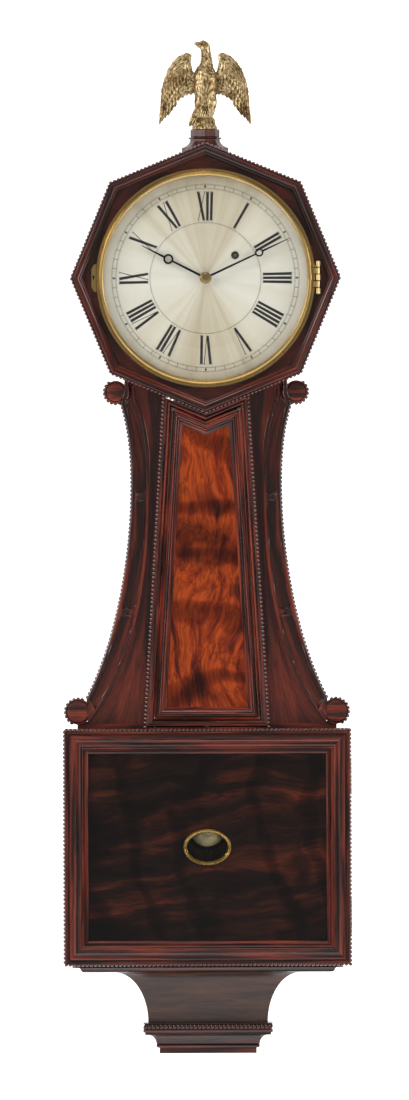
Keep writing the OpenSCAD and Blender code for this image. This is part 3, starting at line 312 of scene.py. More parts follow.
def veneer_sectors(name, shade):
    """Rosewood laid in eight pieces whose grain follows the octagon's sides: a point is turned about
    the dial's axis by its own angle rounded to the nearest eighth of a turn."""
    material = rosewood(name, shade, grain="OBJECT", streak=60.0, wander=1.2)
    tree = material.node_tree
    grain_place = next(made for made in tree.nodes
                       if made.type == "MAPPING" and made.inputs[0].links[0].from_node.type == "TEX_COORD")
    spot = node(material, "SeparateXYZ", {"Vector": own_place(material)})
    angle = node(material, "Math", {0: spot.outputs["Z"], 1: spot.outputs["X"]}, operation="ARCTAN2")
    offset = node(material, "Math", {0: angle.outputs[0], 1: math.pi / 8}, operation="SUBTRACT")
    eighth = node(material, "Math", {0: offset.outputs[0], 1: math.pi / 4}, operation="SNAP")
    middle = node(material, "Math", {0: eighth.outputs[0], 1: math.pi * 0.75}, operation="ADD")
    turned_place = node(material, "VectorRotate", {"Vector": own_place(material), "Angle": middle.outputs[0]},
                        rotation_type="Y_AXIS")
    tree.links.new(turned_place.outputs[0], grain_place.inputs["Vector"])
    return material


def coat(material, *names):
    """Gives the named CAD nodes a finish."""
    for name in names:
        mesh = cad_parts[name].data
        mesh.materials.clear()
        mesh.materials.append(material)


coat(veneer_sectors("rosewood_head_field", 0.24), "head_front")
coat(rosewood("rosewood_sides", 0.4, grain="OBJECT", turn=(0, math.radians(90), 0), varnish=0.0, shine=0.06),
     "head_case", "trunk_sides", "box_case")

# ---- Trunk: frame, panel and their beads ----
# The trunk tapers up to the head. A reeded rosewood frame is mitred round a panel of figured veneer,
# its top cut to a notch under the head's lowest corner, and bead strips run up both outer edges.

TRUNK_Z = -559.0
TRUNK_DEPTH = 84.0
TRUNK_TOP_W = 52.5
TRUNK_FOOT_W = 77.3
FRAME_W = 24.6
THROAT_Z = -HEAD_R + TRUNK_TOP_W * math.tan(math.radians(22.5))


def trunk_half(height):
    """Half the trunk's width at a height, on a straight taper."""
    return TRUNK_TOP_W + (TRUNK_FOOT_W - TRUNK_TOP_W) * (height - THROAT_Z) / (TRUNK_Z - THROAT_Z)


FOOT_Z = TRUNK_Z - 2.2
trunk_path = [(-trunk_half(THROAT_Z), THROAT_Z + 0.4), (-trunk_half(TRUNK_Z), TRUNK_Z),
              (trunk_half(TRUNK_Z), TRUNK_Z), (trunk_half(THROAT_Z), THROAT_Z + 0.4), (0, -HEAD_R + 0.4)]
reeds = hollow_and_round([
    (BEAD_SEAT, 0), (BEAD_SEAT, 8), (4.2, 8, -0.3), (4.6, 5.4), (6.2, 5.8), (6.6, 8.6), (8.8, 9.4, -0.8),
    (9.2, 8.2), (10.0, 10.6), (14.6, 11.4, -2.6), (15.0, 9.6), (16.8, 10.4, -0.7), (17.2, 8.0),
    (19.4, 8.6, -0.7), (19.8, 6.0), (22.2, 6.2, -0.7), (22.6, 4.2), (FRAME_W + 0.8, 3.4),
    (FRAME_W + 0.8, 0)], 6) + [0, TRUNK_DEPTH]
SILL_HALF = 86.0
sill = slab([(-SILL_HALF, FOOT_Z), (SILL_HALF, FOOT_Z), (SILL_HALF, TRUNK_Z + 0.3),
             (-SILL_HALF, TRUNK_Z + 0.3)], TRUNK_DEPTH + 0.2, TRUNK_DEPTH + 7.5)
piece("trunk_reeded_frame", [mitred(trunk_path, reeds, 91), sill],
      rosewood("rosewood_reeds", 0.85, streak=110.0, gloss=0.22, varnish=0.6), "case", "rosewood",
      "trunk_frame", sharp=28)


def figured_veneer(name, stops, turn, scale, warp, vein, bands):
    """Veneer cut through a crotch: the grain's own coordinate is pushed sideways by broad noise, and
    the streaks are noise across that warped grain, so they flow like flames. Dark veins are the
    places where a second, finer noise crosses its middle value, and smoky arcs lie across the grain."""
    material, shader = finish(name, Coat_Weight=0.16, Coat_Roughness=0.06, Specular_IOR_Level=0.18)
    white = (1, 1, 1, 1)
    place = mapped(material, own_place(material), Rotation=turn)
    broad = node(material, "TexNoise", {"Vector": place, "Scale": scale, "Detail": 3.0, "Roughness": 0.5})
    push = node(material, "VectorMath", {0: broad.outputs["Color"], "Scale": warp}, operation="SCALE")
    bent = node(material, "VectorMath", {0: place, 1: push.outputs[0]}, operation="ADD").outputs[0]
    figure = noise(material, mapped(material, bent, Scale=(4.0, 44.0, 44.0)), detail=5.0,
                   Roughness=0.6, Distortion=0.35)
    across = mapped(material, bent, Scale=(16.0, 210.0, 210.0), Location=(3.1, 0.7, 2.3))
    thin = noise(material, across, detail=3.0)
    veins = ramp(material, thin, [(0.40, white), (0.49, (vein, vein * 0.8, vein * 0.8, 1)), (0.55, white)])
    spots = [(0.34, (0.16, 0.11, 0.1, 1)), (0.46, white), (0.9, white)]
    cloud = ramp(material, noise(material, bent, 15.0), spots)
    arcs = node(material, "TexWave", {"Vector": place, "Scale": bands, "Distortion": 13.0, "Detail": 3.0,
                                      "Detail Scale": 0.9, "Detail Roughness": 0.5})
    smoke = ramp(material, arcs.outputs["Color"], [(0.0, (0.2, 0.12, 0.1, 1)), (0.12, (0.45, 0.32, 0.28, 1)),
                                                   (0.26, white), (1.0, white)])
    colour = darkened(material, 0.7, ramp(material, figure, stops), veins)
    colour = darkened(material, 0.7, darkened(material, 0.8, colour, cloud), smoke)
    return dress(material, shader, colour, (figure, 0.24, 0.42))


coat(figured_veneer("rosewood_flame",
                    [(0.28, tone(30, 11, 7)), (0.38, tone(78, 25, 11)), (0.46, tone(126, 44, 15)),
                     (0.54, tone(152, 62, 20)), (0.61, tone(118, 40, 14)), (0.70, tone(44, 15, 9))],
                    (0, math.radians(90), 0), 4.2, 0.13, 0.35, 4.2), "trunk_panel")

trunk_edge = [(-trunk_half(THROAT_Z - 1), THROAT_Z - 1), (-trunk_half(FOOT_Z), FOOT_Z)]


def flat_strip(path, section):
    """A section of (inset, depth) points carried straight from one point of a path to the next, with
    square ends. The inset goes to the left of the way along."""
    path = np.asarray(path, float)
    run = np.gradient(path, axis=0)
    run /= np.linalg.norm(run, axis=1)[:, None]
    left = np.stack([-run[:, 1], run[:, 0]], 1)
    section = np.asarray(section, float)
    flat = path[:, None] + section[None, :, :1] * left[:, None]
    return skins(raised(flat, section[:, 1])[None])


def mirrored(parts):
    """The same skins on the other side of the clock's middle line."""
    return [(points * [-1, 1, 1], faces, uvs) for points, faces, uvs in parts]


left_edge = [flat_strip(trunk_edge, bead_ledge + [0, TRUNK_DEPTH + 3.4])]
left_edge += bead_row(trunk_edge, TRUNK_DEPTH + 8.4)
piece("trunk_beads", left_edge + mirrored(left_edge), BLACKENED, "case", "rosewood")

# ---- Side scrolls ----
# Each side of the trunk has a sawn and carved rosewood scroll. A raised fillet follows each edge, the
# channel between them is sunk, two carved straps cross it, and a turned boss fills each volute.

WAIST_W = 93.0
BOX_W = 355.2
BOX_HALF = BOX_W / 2
VOLUTE_TOP = np.array([HEAD_R * 0.67, -HEAD_R * 0.845])
VOLUTE_FOOT = np.array([BOX_HALF - 17.3, TRUNK_Z + 19.8])
SCROLL_FACE = TRUNK_DEPTH + 3.0
SCROLL_T = 22.0


def bow(points, steps):
    """A cubic curve drawn by four control points."""
    t = np.linspace(0, 1, steps)[:, None]
    p = np.asarray(points, float)
    return (1 - t) ** 3 * p[0] + 3 * (1 - t) ** 2 * t * p[1] + 3 * (1 - t) * t ** 2 * p[2] + t ** 3 * p[3]


def walk(path, share):
    """Points along a path of straight lengths, at shares of its whole length."""
    path = np.asarray(path, float)
    reach = np.concatenate([[0], np.linalg.norm(np.diff(path, axis=0), axis=1).cumsum()])
    return np.stack([np.interp(share * reach[-1], reach, path[:, k]) for k in (0, 1)], 1)


def evenly(path, count):
    """The same path with its points a constant length apart."""
    return walk(path, np.linspace(0, 1, count))


outer_edge = evenly(np.concatenate([
    bow([VOLUTE_TOP + [-6, -13.4], (WAIST_W + 4, -183), (WAIST_W, -215), (WAIST_W, -255)], 60),
    bow([(WAIST_W, -255), (WAIST_W, -340), (WAIST_W + 17, TRUNK_Z + 111.5), VOLUTE_FOOT + [-10.3, 16]],
        120)[1:]]), 260)
SUNK_W = WAIST_W - 23.0
inner_edge = evenly(np.concatenate([
    bow([(WAIST_W - 3, -HEAD_R * 0.845 - 4), (SUNK_W + 4, -172), (SUNK_W, -205), (SUNK_W, -240)], 60),
    bow([(SUNK_W, -240), (SUNK_W, -400), (WAIST_W + 2, TRUNK_Z + 70), VOLUTE_FOOT + [-12, -15]],
        120)[1:]]), 260)


def step_up(x, at, width):
    """A smooth rise from 0 to 1 round a place."""
    t = np.clip((x - at) / width + 0.5, 0, 1)
    return t * t * (3 - 2 * t)


def under_head(x):
    """Height of the head's lower edge over the scrolls, at a distance from the middle line."""
    return -HEAD_R + x * math.tan(math.radians(22.5)) + 1.5


outer_edge = evenly(np.concatenate([[(101.0, under_head(101.0)), (102.5, -141.0)], outer_edge]), 300)
inner_edge = evenly(np.concatenate([[(85.0, under_head(85.0)), (88.0, -139.0)], inner_edge[4:]]), 300)
across = np.interp(np.linspace(0, 1, 49), [0, 1 / 3, 2 / 3, 1], [0, 0.28, 0.72, 1])
rail = outer_edge[:, None] + across[None, :, None] * (inner_edge - outer_edge)[:, None]
rail_w = np.linalg.norm(inner_edge - outer_edge, axis=1)[:, None]
from_outer = across[None] * rail_w
from_inner = (1 - across[None]) * rail_w
sunk = step_up(from_outer, 6.0, 1.4) * step_up(from_inner, 5.8, 1.6)
sunk *= step_up(np.linalg.norm(rail - VOLUTE_FOOT, axis=2), 21.0, 3.0)
sunk *= step_up(np.linalg.norm(rail - VOLUTE_TOP, axis=2), 17.5, 3.0)
for strap_z in (-272.0, -415.0):
    tongue = 3.0 + 13.0 * (2 * np.abs(across[None] - 0.5)) ** 2.6
    sunk *= step_up(np.abs(rail[..., 1] - strap_z), tongue, 2.2)
relief = 2.8 - 4.4 * sunk + 2.1 * np.exp(-((sunk - 0.12) / 0.12) ** 2)
relief -= 1.6 * (1 - step_up(from_outer, 1.0, 1.4)) + 1.4 * (1 - step_up(from_inner, 0.8, 1.4))
sawn_back = raised(rail[:, [-1, 0]], TRUNK_DEPTH - SCROLL_T)
scroll_rail = np.concatenate([raised(rail, SCROLL_FACE + relief), sawn_back], 1)


def beside_frame(height):
    """How far from the middle line the field meets the trunk frame's outer beads."""
    return trunk_half(height) - BEAD_SEAT - 0.5


# A flat field fills the space between the scroll's inner edge and the trunk's frame.
field_z = np.minimum(inner_edge[:, 1], under_head(beside_frame(inner_edge[:, 1])))
field_out = raised(inner_edge + [1.0, 0], TRUNK_DEPTH - 1.0)
field_in = raised(np.stack([beside_frame(field_z), field_z], 1), TRUNK_DEPTH - 1.0)
through = [0, SCROLL_T - 1.0, 0]
field = np.stack([field_out, (field_out + field_in) / 2, field_in, field_in - through, field_out - through], 1)
foot_in, foot_out = trunk_half(FOOT_Z) - 3, VOLUTE_FOOT[0] + 1
foot_block = slab([(foot_in, FOOT_Z), (foot_out, FOOT_Z), (foot_out, VOLUTE_FOOT[1] - 12),
                   (foot_in, VOLUTE_FOOT[1] - 14)], TRUNK_DEPTH - SCROLL_T, TRUNK_DEPTH - 1.2, 500)
SCROLL_WOOD = rosewood("rosewood_scroll", 0.55, streak=60.0, gloss=0.24, varnish=0.6)
scroll = [skins(scroll_rail[None], shift=40), skins(field[None], shift=300), foot_block]


def turned(centre, profile, steps=64):
    """A section of (radius, depth) points turned round an axis that points to the front."""
    turn = np.radians(np.arange(0, 360, 360 / steps))
    radius, depth = np.asarray(profile, float).T
    flat = centre + np.stack([np.cos(turn), np.sin(turn)], 1)[:, None] * radius[:, None]
    return skins(raised(flat, depth)[None], wrap=True)


def boss(centre, radius, rim):
    """A volute's end: a low domed disc, a sharp hollow round it and a rounded rim."""
    crown = arc(1, 0, 90, 8) * [1.2, 1.0] + [radius - 1.2, 2.0]
    roll = arc((rim - radius - 0.8) / 2, 0, 180, 9) * [1, 0.8] + [(rim + radius + 0.8) / 2, 1.2]
    profile = np.concatenate([[[0.01, -25.0], [rim, -25.0]], roll, [[radius + 0.5, -0.2], [radius, -0.1]],
                              crown, [[radius * 0.5, 3.3], [0.01, 3.5]]])
    return turned(centre, profile + [0, SCROLL_FACE], 56)


def bead_arc(centre, radius, start, stop):
    """Beads round part of a volute, from one angle to another."""
    return bead_row(centre + arc(radius, start, stop, 60), TRUNK_DEPTH + 0.6)


bosses = [boss(VOLUTE_TOP, 11.4, 14.2), boss(VOLUTE_FOOT, 13.6, 16.0)]
edge_beads = (bead_row(outer_edge[18:], TRUNK_DEPTH + 0.6) + bead_arc(VOLUTE_TOP, 14.6, 62, -118)
              + bead_arc(VOLUTE_FOOT, 16.2, 118, -68))
piece("scroll_right_carving", scroll, SCROLL_WOOD, "case", "rosewood", "scroll_right", sharp=40)
piece("scroll_left_carving", mirrored(scroll), SCROLL_WOOD, "case", "rosewood", "scroll_left", sharp=40)
piece("scroll_turned_bosses", bosses + mirrored(bosses),
      rosewood("rosewood_bosses", 0.62, grain="OBJECT", streak=150.0, gloss=0.4, varnish=0.1),
      "case", "rosewood", "scroll_bosses")
piece("scroll_beads", edge_beads + mirrored(edge_beads), BLACKENED, "case", "rosewood")

# ---- Box: door frame, panel, window and beads ----
# The box's front is a door: an ogee and stepped moulding mitred round a dark figured panel, a bead
# strip let in round its edge, and a brass-ringed oval window where the pendulum's bob shows.

BOX_TOP = TRUNK_Z - 0.5 - BEAD_OUT
BOX_FOOT = BOX_TOP - 292.0
BOX_DEPTH = 100.0
DOOR_BACK = BOX_DEPTH + 0.3
DOOR_T = 14.0
DOOR_FRAME_W = 30.0
WINDOW_Z = (BOX_TOP + BOX_FOOT) / 2
WINDOW_HALVES = (30.0, 22.7)

door_path = [(-BOX_HALF, BOX_TOP), (-BOX_HALF, BOX_FOOT), (BOX_HALF, BOX_FOOT), (BOX_HALF, BOX_TOP)]
DOOR_FACE = DOOR_BACK + DOOR_T
door_run = hollow_and_round([
    (BEAD_SEAT, -DOOR_T), (BEAD_SEAT, -1), (4.2, -1), (4.6, -3.4), (6.2, -3.4), (6.6, 1.4), (7.4, 2.2),
    (8.0, 2.2), (16.2, 6.6, -2.2), (16.6, 4.6), (17.8, 4.8), (21.2, 1.6, 1.0), (21.6, 0.6), (25.0, 0.6, -1.1),
    (25.6, -2.2), (27.0, -2.2), (29.4, -4.0, -0.5), (DOOR_FRAME_W, -5.8), (DOOR_FRAME_W, -DOOR_T)], 7)
piece("door_moulding", [mitred(door_path, door_run + [0, DOOR_FACE], 33)],
      rosewood("rosewood_door_moulding", 0.6, streak=90.0, wander=0.5),
      "box_door", "rosewood", "box_door_frame")
piece("door_bead_strip",
      [mitred(door_path, bead_ledge + [0, DOOR_FACE - BEAD_W - 1.2])]
      + bead_row(door_path, DOOR_FACE - 1.2, closed=True),
      BLACKENED, "box_door", "rosewood", "box_door_beading")
coat(figured_veneer("rosewood_door_panel",
                    [(0.36, tone(13, 7, 5)), (0.50, tone(24, 11, 7)), (0.60, tone(52, 21, 11)),
                     (0.68, tone(84, 34, 16)), (0.76, tone(30, 12, 8))],
                    (0, math.radians(4), 0), 5.0, 0.07, 0.35, 5.0), "box_door_panel")


def oval_ring(half_w, half_h, section):
    """A section of (inset, depth) points carried round an oval centred on the window; the inset runs
    along the oval's own normal."""
    turn = np.radians(np.arange(0, 360, 3.75))
    rim = np.stack([half_w * np.cos(turn), half_h * np.sin(turn)], 1)
    normal = np.stack([half_h * np.cos(turn), half_w * np.sin(turn)], 1)
    normal /= np.linalg.norm(normal, axis=1)[:, None]
    inset, depth = np.asarray(section, float).T
    flat = rim[:, None] - normal[:, None] * inset[:, None]
    return skins(raised(flat + [0, WINDOW_Z], depth)[None], wrap=True)


def brass(name, colour, rough, scratch=0.05, patina=0.0):
    """Brass, brushed by fine scratches, with a cloud of darker tarnish and a roughness that varies
    with it."""
    material, shader = finish(name, Metallic=1.0)
    place = own_place(material)
    cloud = noise(material, place, 60.0, 5.0, Roughness=0.65)
    tint = ramp(material, cloud, [(0.36, shaded(colour, 1 - patina)), (0.58, colour)])
    scratches = noise(material, place, 2400.0, 1.0)
    return dress(material, shader, tint, (cloud, rough + 0.14, rough - 0.04), (scratches, scratch, 0.0002))


panel_face = DOOR_BACK + 8.0
ring = np.concatenate([[[3.2, panel_face - 2.8], [0.4, panel_face]],
                       arc(1, 180, 0, 8) * [1.3, 2.4] + [1.3, panel_face + 0.2], [[3.2, panel_face]]])
inner_bead = arc(1, 180, 0, 6) * [0.6, 1.0] + [4.0, panel_face - 1.4]
inner_ring = np.concatenate([[[3.2, panel_face - 2.7]], inner_bead, [[4.7, panel_face - 2.7]]])
piece("window_brass_ring", [oval_ring(*WINDOW_HALVES, ring), oval_ring(*WINDOW_HALVES, inner_ring)],
      brass("lacquered_brass", tone(190, 156, 88), 0.22, 0.05, 0.2), "box_door", "brass", "window_ring")


def clear_glass(name, alpha):
    """Old window glass: nearly clear, with a hard gloss and a very slight waviness."""
    material, shader = finish(name, Base_Color=(0.9, 0.95, 0.94, 1), Roughness=0.02, IOR=1.5, Alpha=alpha,
                              Transmission_Weight=1.0)
    return dress(material, shader, dent=(noise(material, own_place(material), 9.0, 1.0), 0.04, 0.004))


coat(clear_glass("window_pane", 0.35), "window_glass")

# ---- Under the box: rail, bracket and foot ----
# The box stands on a stepped rail with a bead strip. The bracket below it is hollowed on three sides
# and ends in a moulded foot: a beaded cap, a hollow, a half round and a thin base.

DROP_TOP_W = 117.0
DROP_FOOT_W = 74.5
DROP_CURVE = DROP_TOP_W - DROP_FOOT_W
DROP_Z = BOX_FOOT - 10.0
DROP_H = 64.0
DROP_END = DROP_Z - DROP_H


def stacked(levels):
    """A block whose three free sides follow a section down its height: each level is (half width,
    depth, height), and the back is flat on the wall."""
    half, depth, height = np.asarray(levels, float).T
    zero = np.zeros_like(half)
    grid = np.stack([np.stack([-half, zero, height], 1), np.stack([-half, depth, height], 1),
                     np.stack([half, depth, height], 1), np.stack([half, zero, height], 1)], 1)
    points, faces, uvs = skins(grid[None])
    uvs[0] = uvs[0][..., ::-1].copy()
    return points, faces, uvs


rail_run = [(-9, -9, 0), (-9, -9, -BEAD_W), (-18, -5, -BEAD_W)]
rail_run += [(-18 - 3 * s, -5 - 2.4 * s - 1.2 * math.sin(math.pi * s), -BEAD_W - 5.0 * s)
             for s in np.linspace(0, 1, 8)]
rail_run += [(-24, -10, DROP_Z - BOX_FOOT)]
quarter = np.linspace(0, math.pi / 2, 22)
bracket_run = [(DROP_TOP_W - DROP_CURVE * math.sin(t), BOX_DEPTH - 12 - 0.8 * DROP_CURVE * math.sin(t),
                DROP_Z - DROP_H * (1 - math.cos(t))) for t in quarter]
foot_run = [(4.4, 59.4, 0), (6.2, 61.2, -0.2), (6.2, 61.2, -1.2), (4.8, 59.4, -1.4), (4.8, 59.4, -8.8),
            (6.4, 61.4, -9), (6.4, 61.4, -10.6), (5.6, 60.6, -12), (4, 58, -12), (4, 58, -15.2), (1, 55, -15.2)]
foot_run += [(1 - 11 * math.sin(t), 55 - 9.6 * math.sin(t), -15.2 - 11.4 * (1 - math.cos(t)))
             for t in quarter[1:]]
foot_run += [(2.4 * math.sin(t) - 12.4, 2.4 * math.sin(t) + 43.0, 2.4 * math.cos(t) - 29.2)
             for t in np.linspace(0, math.pi, 10)]
foot_run += [(-14, 41.6, -32), (-14, 41.6, -38.6)]
BRACKET_WOOD = polished_wood("rosewood_bracket", [(0.30, tone(34, 22, 17)), (0.46, tone(52, 33, 25)),
                                                  (0.56, tone(68, 42, 30)), (0.70, tone(84, 52, 37))],
                             streak=110.0, wander=0.5, gloss=0.32, varnish=0.2)
piece("box_rail", [stacked(np.add(rail_run, [BOX_HALF, BOX_DEPTH, BOX_FOOT]))], MOULDING, "case", "rosewood",
      "base_moulding")
piece("bracket_block", [stacked(bracket_run)], BRACKET_WOOD, "case", "rosewood", "drop_bracket")
piece("bracket_moulded_foot", [stacked(np.add(foot_run, [DROP_FOOT_W, 0, DROP_END]))],
      MOULDING, "case", "rosewood", "bracket_foot")


def facing_beads(half, height, face, tall=BEAD_W):
    """A level row of beads hung under an edge, each a flattened ball or egg that faces the front."""
    count = round(2 * half / BEAD_PITCH)
    at = -half + (np.arange(count) + 0.5) * 2 * half / count
    rise, turn = np.radians(np.linspace(6, 174, 6)), np.radians(np.arange(0, 360, 45))
    x = -np.cos(rise)[:, None] * np.ones(8) * 0.46 * BEAD_PITCH
    up = np.sin(rise)[:, None] * np.cos(turn) * tall / 2
    out = np.sin(rise)[:, None] * np.sin(turn) * BEAD_OUT
    across = at[:, None, None] + x + 0.2 * up
    return skins(np.stack(np.broadcast_arrays(across, face + out, height - tall / 2 + up), 3))


piece("rail_and_foot_beads",
      [facing_beads(BOX_HALF - 9.4, BOX_FOOT, BOX_DEPTH - 8.6),
       facing_beads(DROP_FOOT_W + 6.6, DROP_END - 1.4, 60.3, 7.4)],
      BLACKENED, "case", "rosewood", "case_beading")

# ---- Finial plinth ----
# The eagle stands on an eight-sided turned-looking block built up of rosewood: a cap with a bead
# below it and a hollow that spreads to the roof of the head.

PLINTH_D = 58.0
PLINTH_TOP = HEAD_R + 18.8


def eight_sided(levels):
    """A column with eight flat sides, each level given as (corner radius, height)."""
    radius, height = np.asarray(levels, float).T
    turn = np.radians(22.5 + 45 * np.arange(8) + 22.5)
    grid = np.stack([np.cos(turn) * radius[:, None], PLINTH_D + np.sin(turn) * radius[:, None],
                     np.broadcast_to(height[:, None], (len(radius), 8))], 2)
    return skins(grid[None])


plinth_run = [(16.6, 0), (18.2, -1.2), (18.2, -9.2), (17.4, -10), (20.0, -10.2), (21.0, -11.2), (20.0, -12.4),
              (18.4, -12.8)]
plinth_run += [(18.4 + 8.6 * s ** 2.2, -13 - 9.6 * s) for s in np.linspace(0, 1, 10)]
plinth_run += [(29.2, -23.2), (29.2, -26.4), (29.2, -35.8)]
piece("plinth_block", [eight_sided(np.add(plinth_run, [0, PLINTH_TOP]))],
      rosewood("rosewood_plinth", 0.5, streak=120.0, gloss=0.4, varnish=0.15), "case", "rosewood",
      "finial_plinth", sharp=25)

# ---- Eagle finial ----
# A hollow brass casting, chased and left to go brown: an eagle with raised wings and its head to one
# side, standing on a rocky mound. Its feathers are cast in rows, the long ones last and lowest.


def on_plinth(grid):
    """Moves a grid made round the plinth's own middle to its place."""
    return np.asarray(grid, float) + [0, PLINTH_D, PLINTH_TOP]


def limb(spine, radii, steps=20, squash=1.0, relief=None):
    """A tube round a bent line of (x, depth, height) points. Each ring stands square to the line, its
    radius given there, flattened from front to back by squash; relief adds to the radius."""
    spine, radii = np.asarray(spine, float), np.asarray(radii, float)
    t = np.linspace(0, 1, len(spine))
    fine = np.linspace(0, 1, 6 * (len(spine) - 1) + 1)
    line = np.stack([np.interp(fine, t, spine[:, k]) for k in range(3)], 1)
    for _ in range(6):
        line[1:-1] = (line[:-2] + 2 * line[1:-1] + line[2:]) / 4
    radius = np.interp(fine, t, radii)
    run = np.gradient(line, axis=0)
    run /= np.linalg.norm(run, axis=1)[:, None]
    side = np.cross(run, [0, 1.0, 0])
    side /= np.linalg.norm(side, axis=1)[:, None]
    face = np.cross(side, run)
    turn = np.radians(np.arange(0, 360, 360 / steps))
    ring = radius[:, None] * np.ones(steps)
    if relief is not None:
        ring = ring + relief(fine[:, None], turn[None])
    grid = line[:, None] + ring[..., None] * (np.cos(turn)[None, :, None] * side[:, None]
                                              + squash * np.sin(turn)[None, :, None] * face[:, None])
    return skins(on_plinth(grid)[None])


def feather_cells(across, row):
    """Small overlapping feathers in staggered rows: how far each stands out, rising towards a rounded
    lower edge, and where a point lies across its feather, from -1 to 1."""
    cell = across + 0.5 * (np.floor(row) % 2)
    side = 2 * (cell - np.floor(cell)) - 1
    return (1 - (row - np.floor(row))) * np.sqrt(np.clip(1 - side ** 2, 0, 1)), side


def scaled(rows, columns, height):
    """Relief of small feathers round a limb, in so many rows along it and columns round it."""
    def relief(along, turn):
        rise, side = feather_cells(turn / (2 * math.pi) * columns, along * rows)
        return height * (rise - 0.45 + 0.15 * np.abs(side) ** 0.2)
    return relief


def feathers(roots, tips, width, front, sway=0.0, thick=1.3):
    """Long flat feathers from roots to tips, both (x, height). The outline widens to three quarters
    of the length and closes in a round end; across it the blade is a thin arch with a rib, and along
    it the feather bows sideways by sway."""
    roots, tips = np.asarray(roots, float), np.asarray(tips, float)
    width = np.broadcast_to(width, len(roots))
    front = np.broadcast_to(front, len(roots))
    t = np.linspace(0, 1, 13)
    run = tips - roots
    left = np.stack([-run[:, 1], run[:, 0]], 1) / np.linalg.norm(run, axis=1)[:, None]
    bowed = sway * np.sin(math.pi * t)
    line = roots[:, None] + t[None, :, None] * run[:, None] + bowed[None, :, None] * left[:, None]
    tip = np.sqrt(np.clip(1 - (np.clip(t - 0.74, 0, 1) / 0.262) ** 2, 0.0009, 1))
    half = width[:, None] / 2 * (0.55 + 0.45 * np.clip(t / 0.7, 0, 1)) * tip
    s = np.array([-1, -0.72, -0.36, -0.09, 0, 0.09, 0.36, 0.72, 1, 0.5, -0.5])
    arch = np.array([0, 0.55, 0.8, 0.82, 1.15, 0.82, 0.8, 0.55, 0, -0.25, -0.25])
    flat = line[:, :, None] + half[..., None, None] * s[None, None, :, None] * left[:, None, None]
    return skins(on_plinth(raised(flat, front[:, None, None] + thick * tip[None, :, None] * arch)))


arm = bow([(-11, 63), (-19, 68), (-27, 76), (-21.5, 85)], 14)
arm = np.concatenate([arm, bow([(-21.5, 85), (-18.5, 90), (-17, 93.8), (-24, 92.4)], 10)[1:],
                      bow([(-24, 92.4), (-40, 88), (-50, 66), (-54.6, 42)], 22)[1:]])


blade_at = np.linspace(0, 1, 60)
bone_line = walk(arm, 0.16 + 0.84 * blade_at)
hem = [(-9, 47), (-15.5, 44.5), (-21.5, 43.5), (-27, 40.5), (-33.5, 37.5), (-36.4, 31), (-39.4, 27),
       (-43, 20.5), (-47.5, 17), (-51.5, 14.5), (-54.5, 12)]
hem_line = walk(hem, np.clip(1.25 * blade_at - 0.25, 0, 1))
down = np.linspace(0, 1, 34)
web = bone_line[:, None] + down[None, :, None] * (hem_line - bone_line)[:, None]
web_rise = feather_cells(15 * blade_at[:, None], 7.0 * down[None])[0]
web_y = 1.0 + 2.2 * np.sin(math.pi * np.clip(down[None] * 1.3, 0, 1)) - 3.4 * down[None] + 1.5 * web_rise
wing = [skins(on_plinth(np.concatenate([raised(web, web_y), raised(web[:, ::-1], -4.6)], 1))[None])]
long_tips = np.array([(-17.5, 42.6), (-22.5, 41.6), (-27.5, 38.8), (-32.8, 35.4), (-37.2, 27.5), (-41.2, 22.6),
                      (-45.4, 16.6), (-49.6, 13.4), (-53.4, 9.6), (-56.8, 5.6)])
long_roots = np.array([(-19.0, 66.0), (-24.0, 68.0), (-29.0, 69.0), (-34.0, 68.0), (-38.5, 66.5), (-42.5, 63.5),
                       (-46.0, 60.0), (-49.0, 55.5), (-51.8, 49.0), (-54.0, 42.0)])
order = np.arange(len(long_tips))
wing.append(feathers(long_roots, long_tips, 6.4 - 0.2 * order, -3.4 + 0.3 * order, sway=1.2, thick=1.9))
cover_share = np.linspace(0.2, 0.92, 12)
cover_roots = walk(arm, cover_share) * 0.9 + 0.1 * np.array([-30, 50])
long_share = np.linspace(0.1, 1, len(long_tips))
cover_run = np.stack([np.interp(cover_share, long_share, line) for line in long_tips.T], 1) - cover_roots
wing.append(feathers(cover_roots + 0.2 * cover_run, cover_roots + 0.66 * cover_run,
                     6.4, 0.4 + 0.1 * np.arange(12), sway=1.0, thick=1.7))
bone = raised(arm, 0.2)[::3]
bone_radius = np.interp(np.linspace(0, 1, len(bone)), [0, 0.2, 0.45, 0.8, 1], [5.4, 4.2, 3.0, 2.4, 1.2])
wing.append(limb(bone, bone_radius, 12, 0.9, scaled(22, 6, 1.0)))

body_line = [(1, -3, 24), (1, -1.5, 32), (1, 0, 42), (1, 1, 54), (0.8, 1, 64), (0.8, 0.6, 72), (2.2, 0.4, 80),
             (2.4, 1, 88), (1.6, 2, 95)]
body = [limb(body_line, [7, 11.5, 13.6, 15.0, 15.2, 12.6, 8.4, 6.5, 5.8], 60, 0.84, scaled(15, 12, 1.7)),
        limb([(1.8, 1.6, 92), (1.4, 2.4, 97), (0.4, 3.2, 102.6), (-1.4, 3.4, 107.2), (-2.2, 3.2, 111.0)],
             [5.9, 6.0, 6.6, 5.0, 0.6], 28, 0.92, scaled(7, 9, 0.8)),
        limb([(-3.6, 4.6, 104.4), (-8.0, 5.4, 106.2), (-11.4, 6.0, 106.8), (-13.8, 6.2, 105.2)],
             [4.2, 2.8, 1.9, 0.5], 16, 0.8),
        limb([(-3.0, 4.6, 101.4), (-7.0, 5.2, 102.8), (-10.6, 5.6, 104.2)], [2.8, 1.7, 0.5], 12, 0.8),
        limb([(-1.6, 8.6, 109.0), (-4.6, 8.8, 108.2), (-7.6, 7.6, 107.0)], [0.9, 1.5, 0.7], 10),
        limb([(-4.3, 9.4, 106.3), (-4.6, 9.9, 106.2), (-4.9, 10.2, 106.1)], [1.1, 1.0, 0.2], 10)]
legs = []
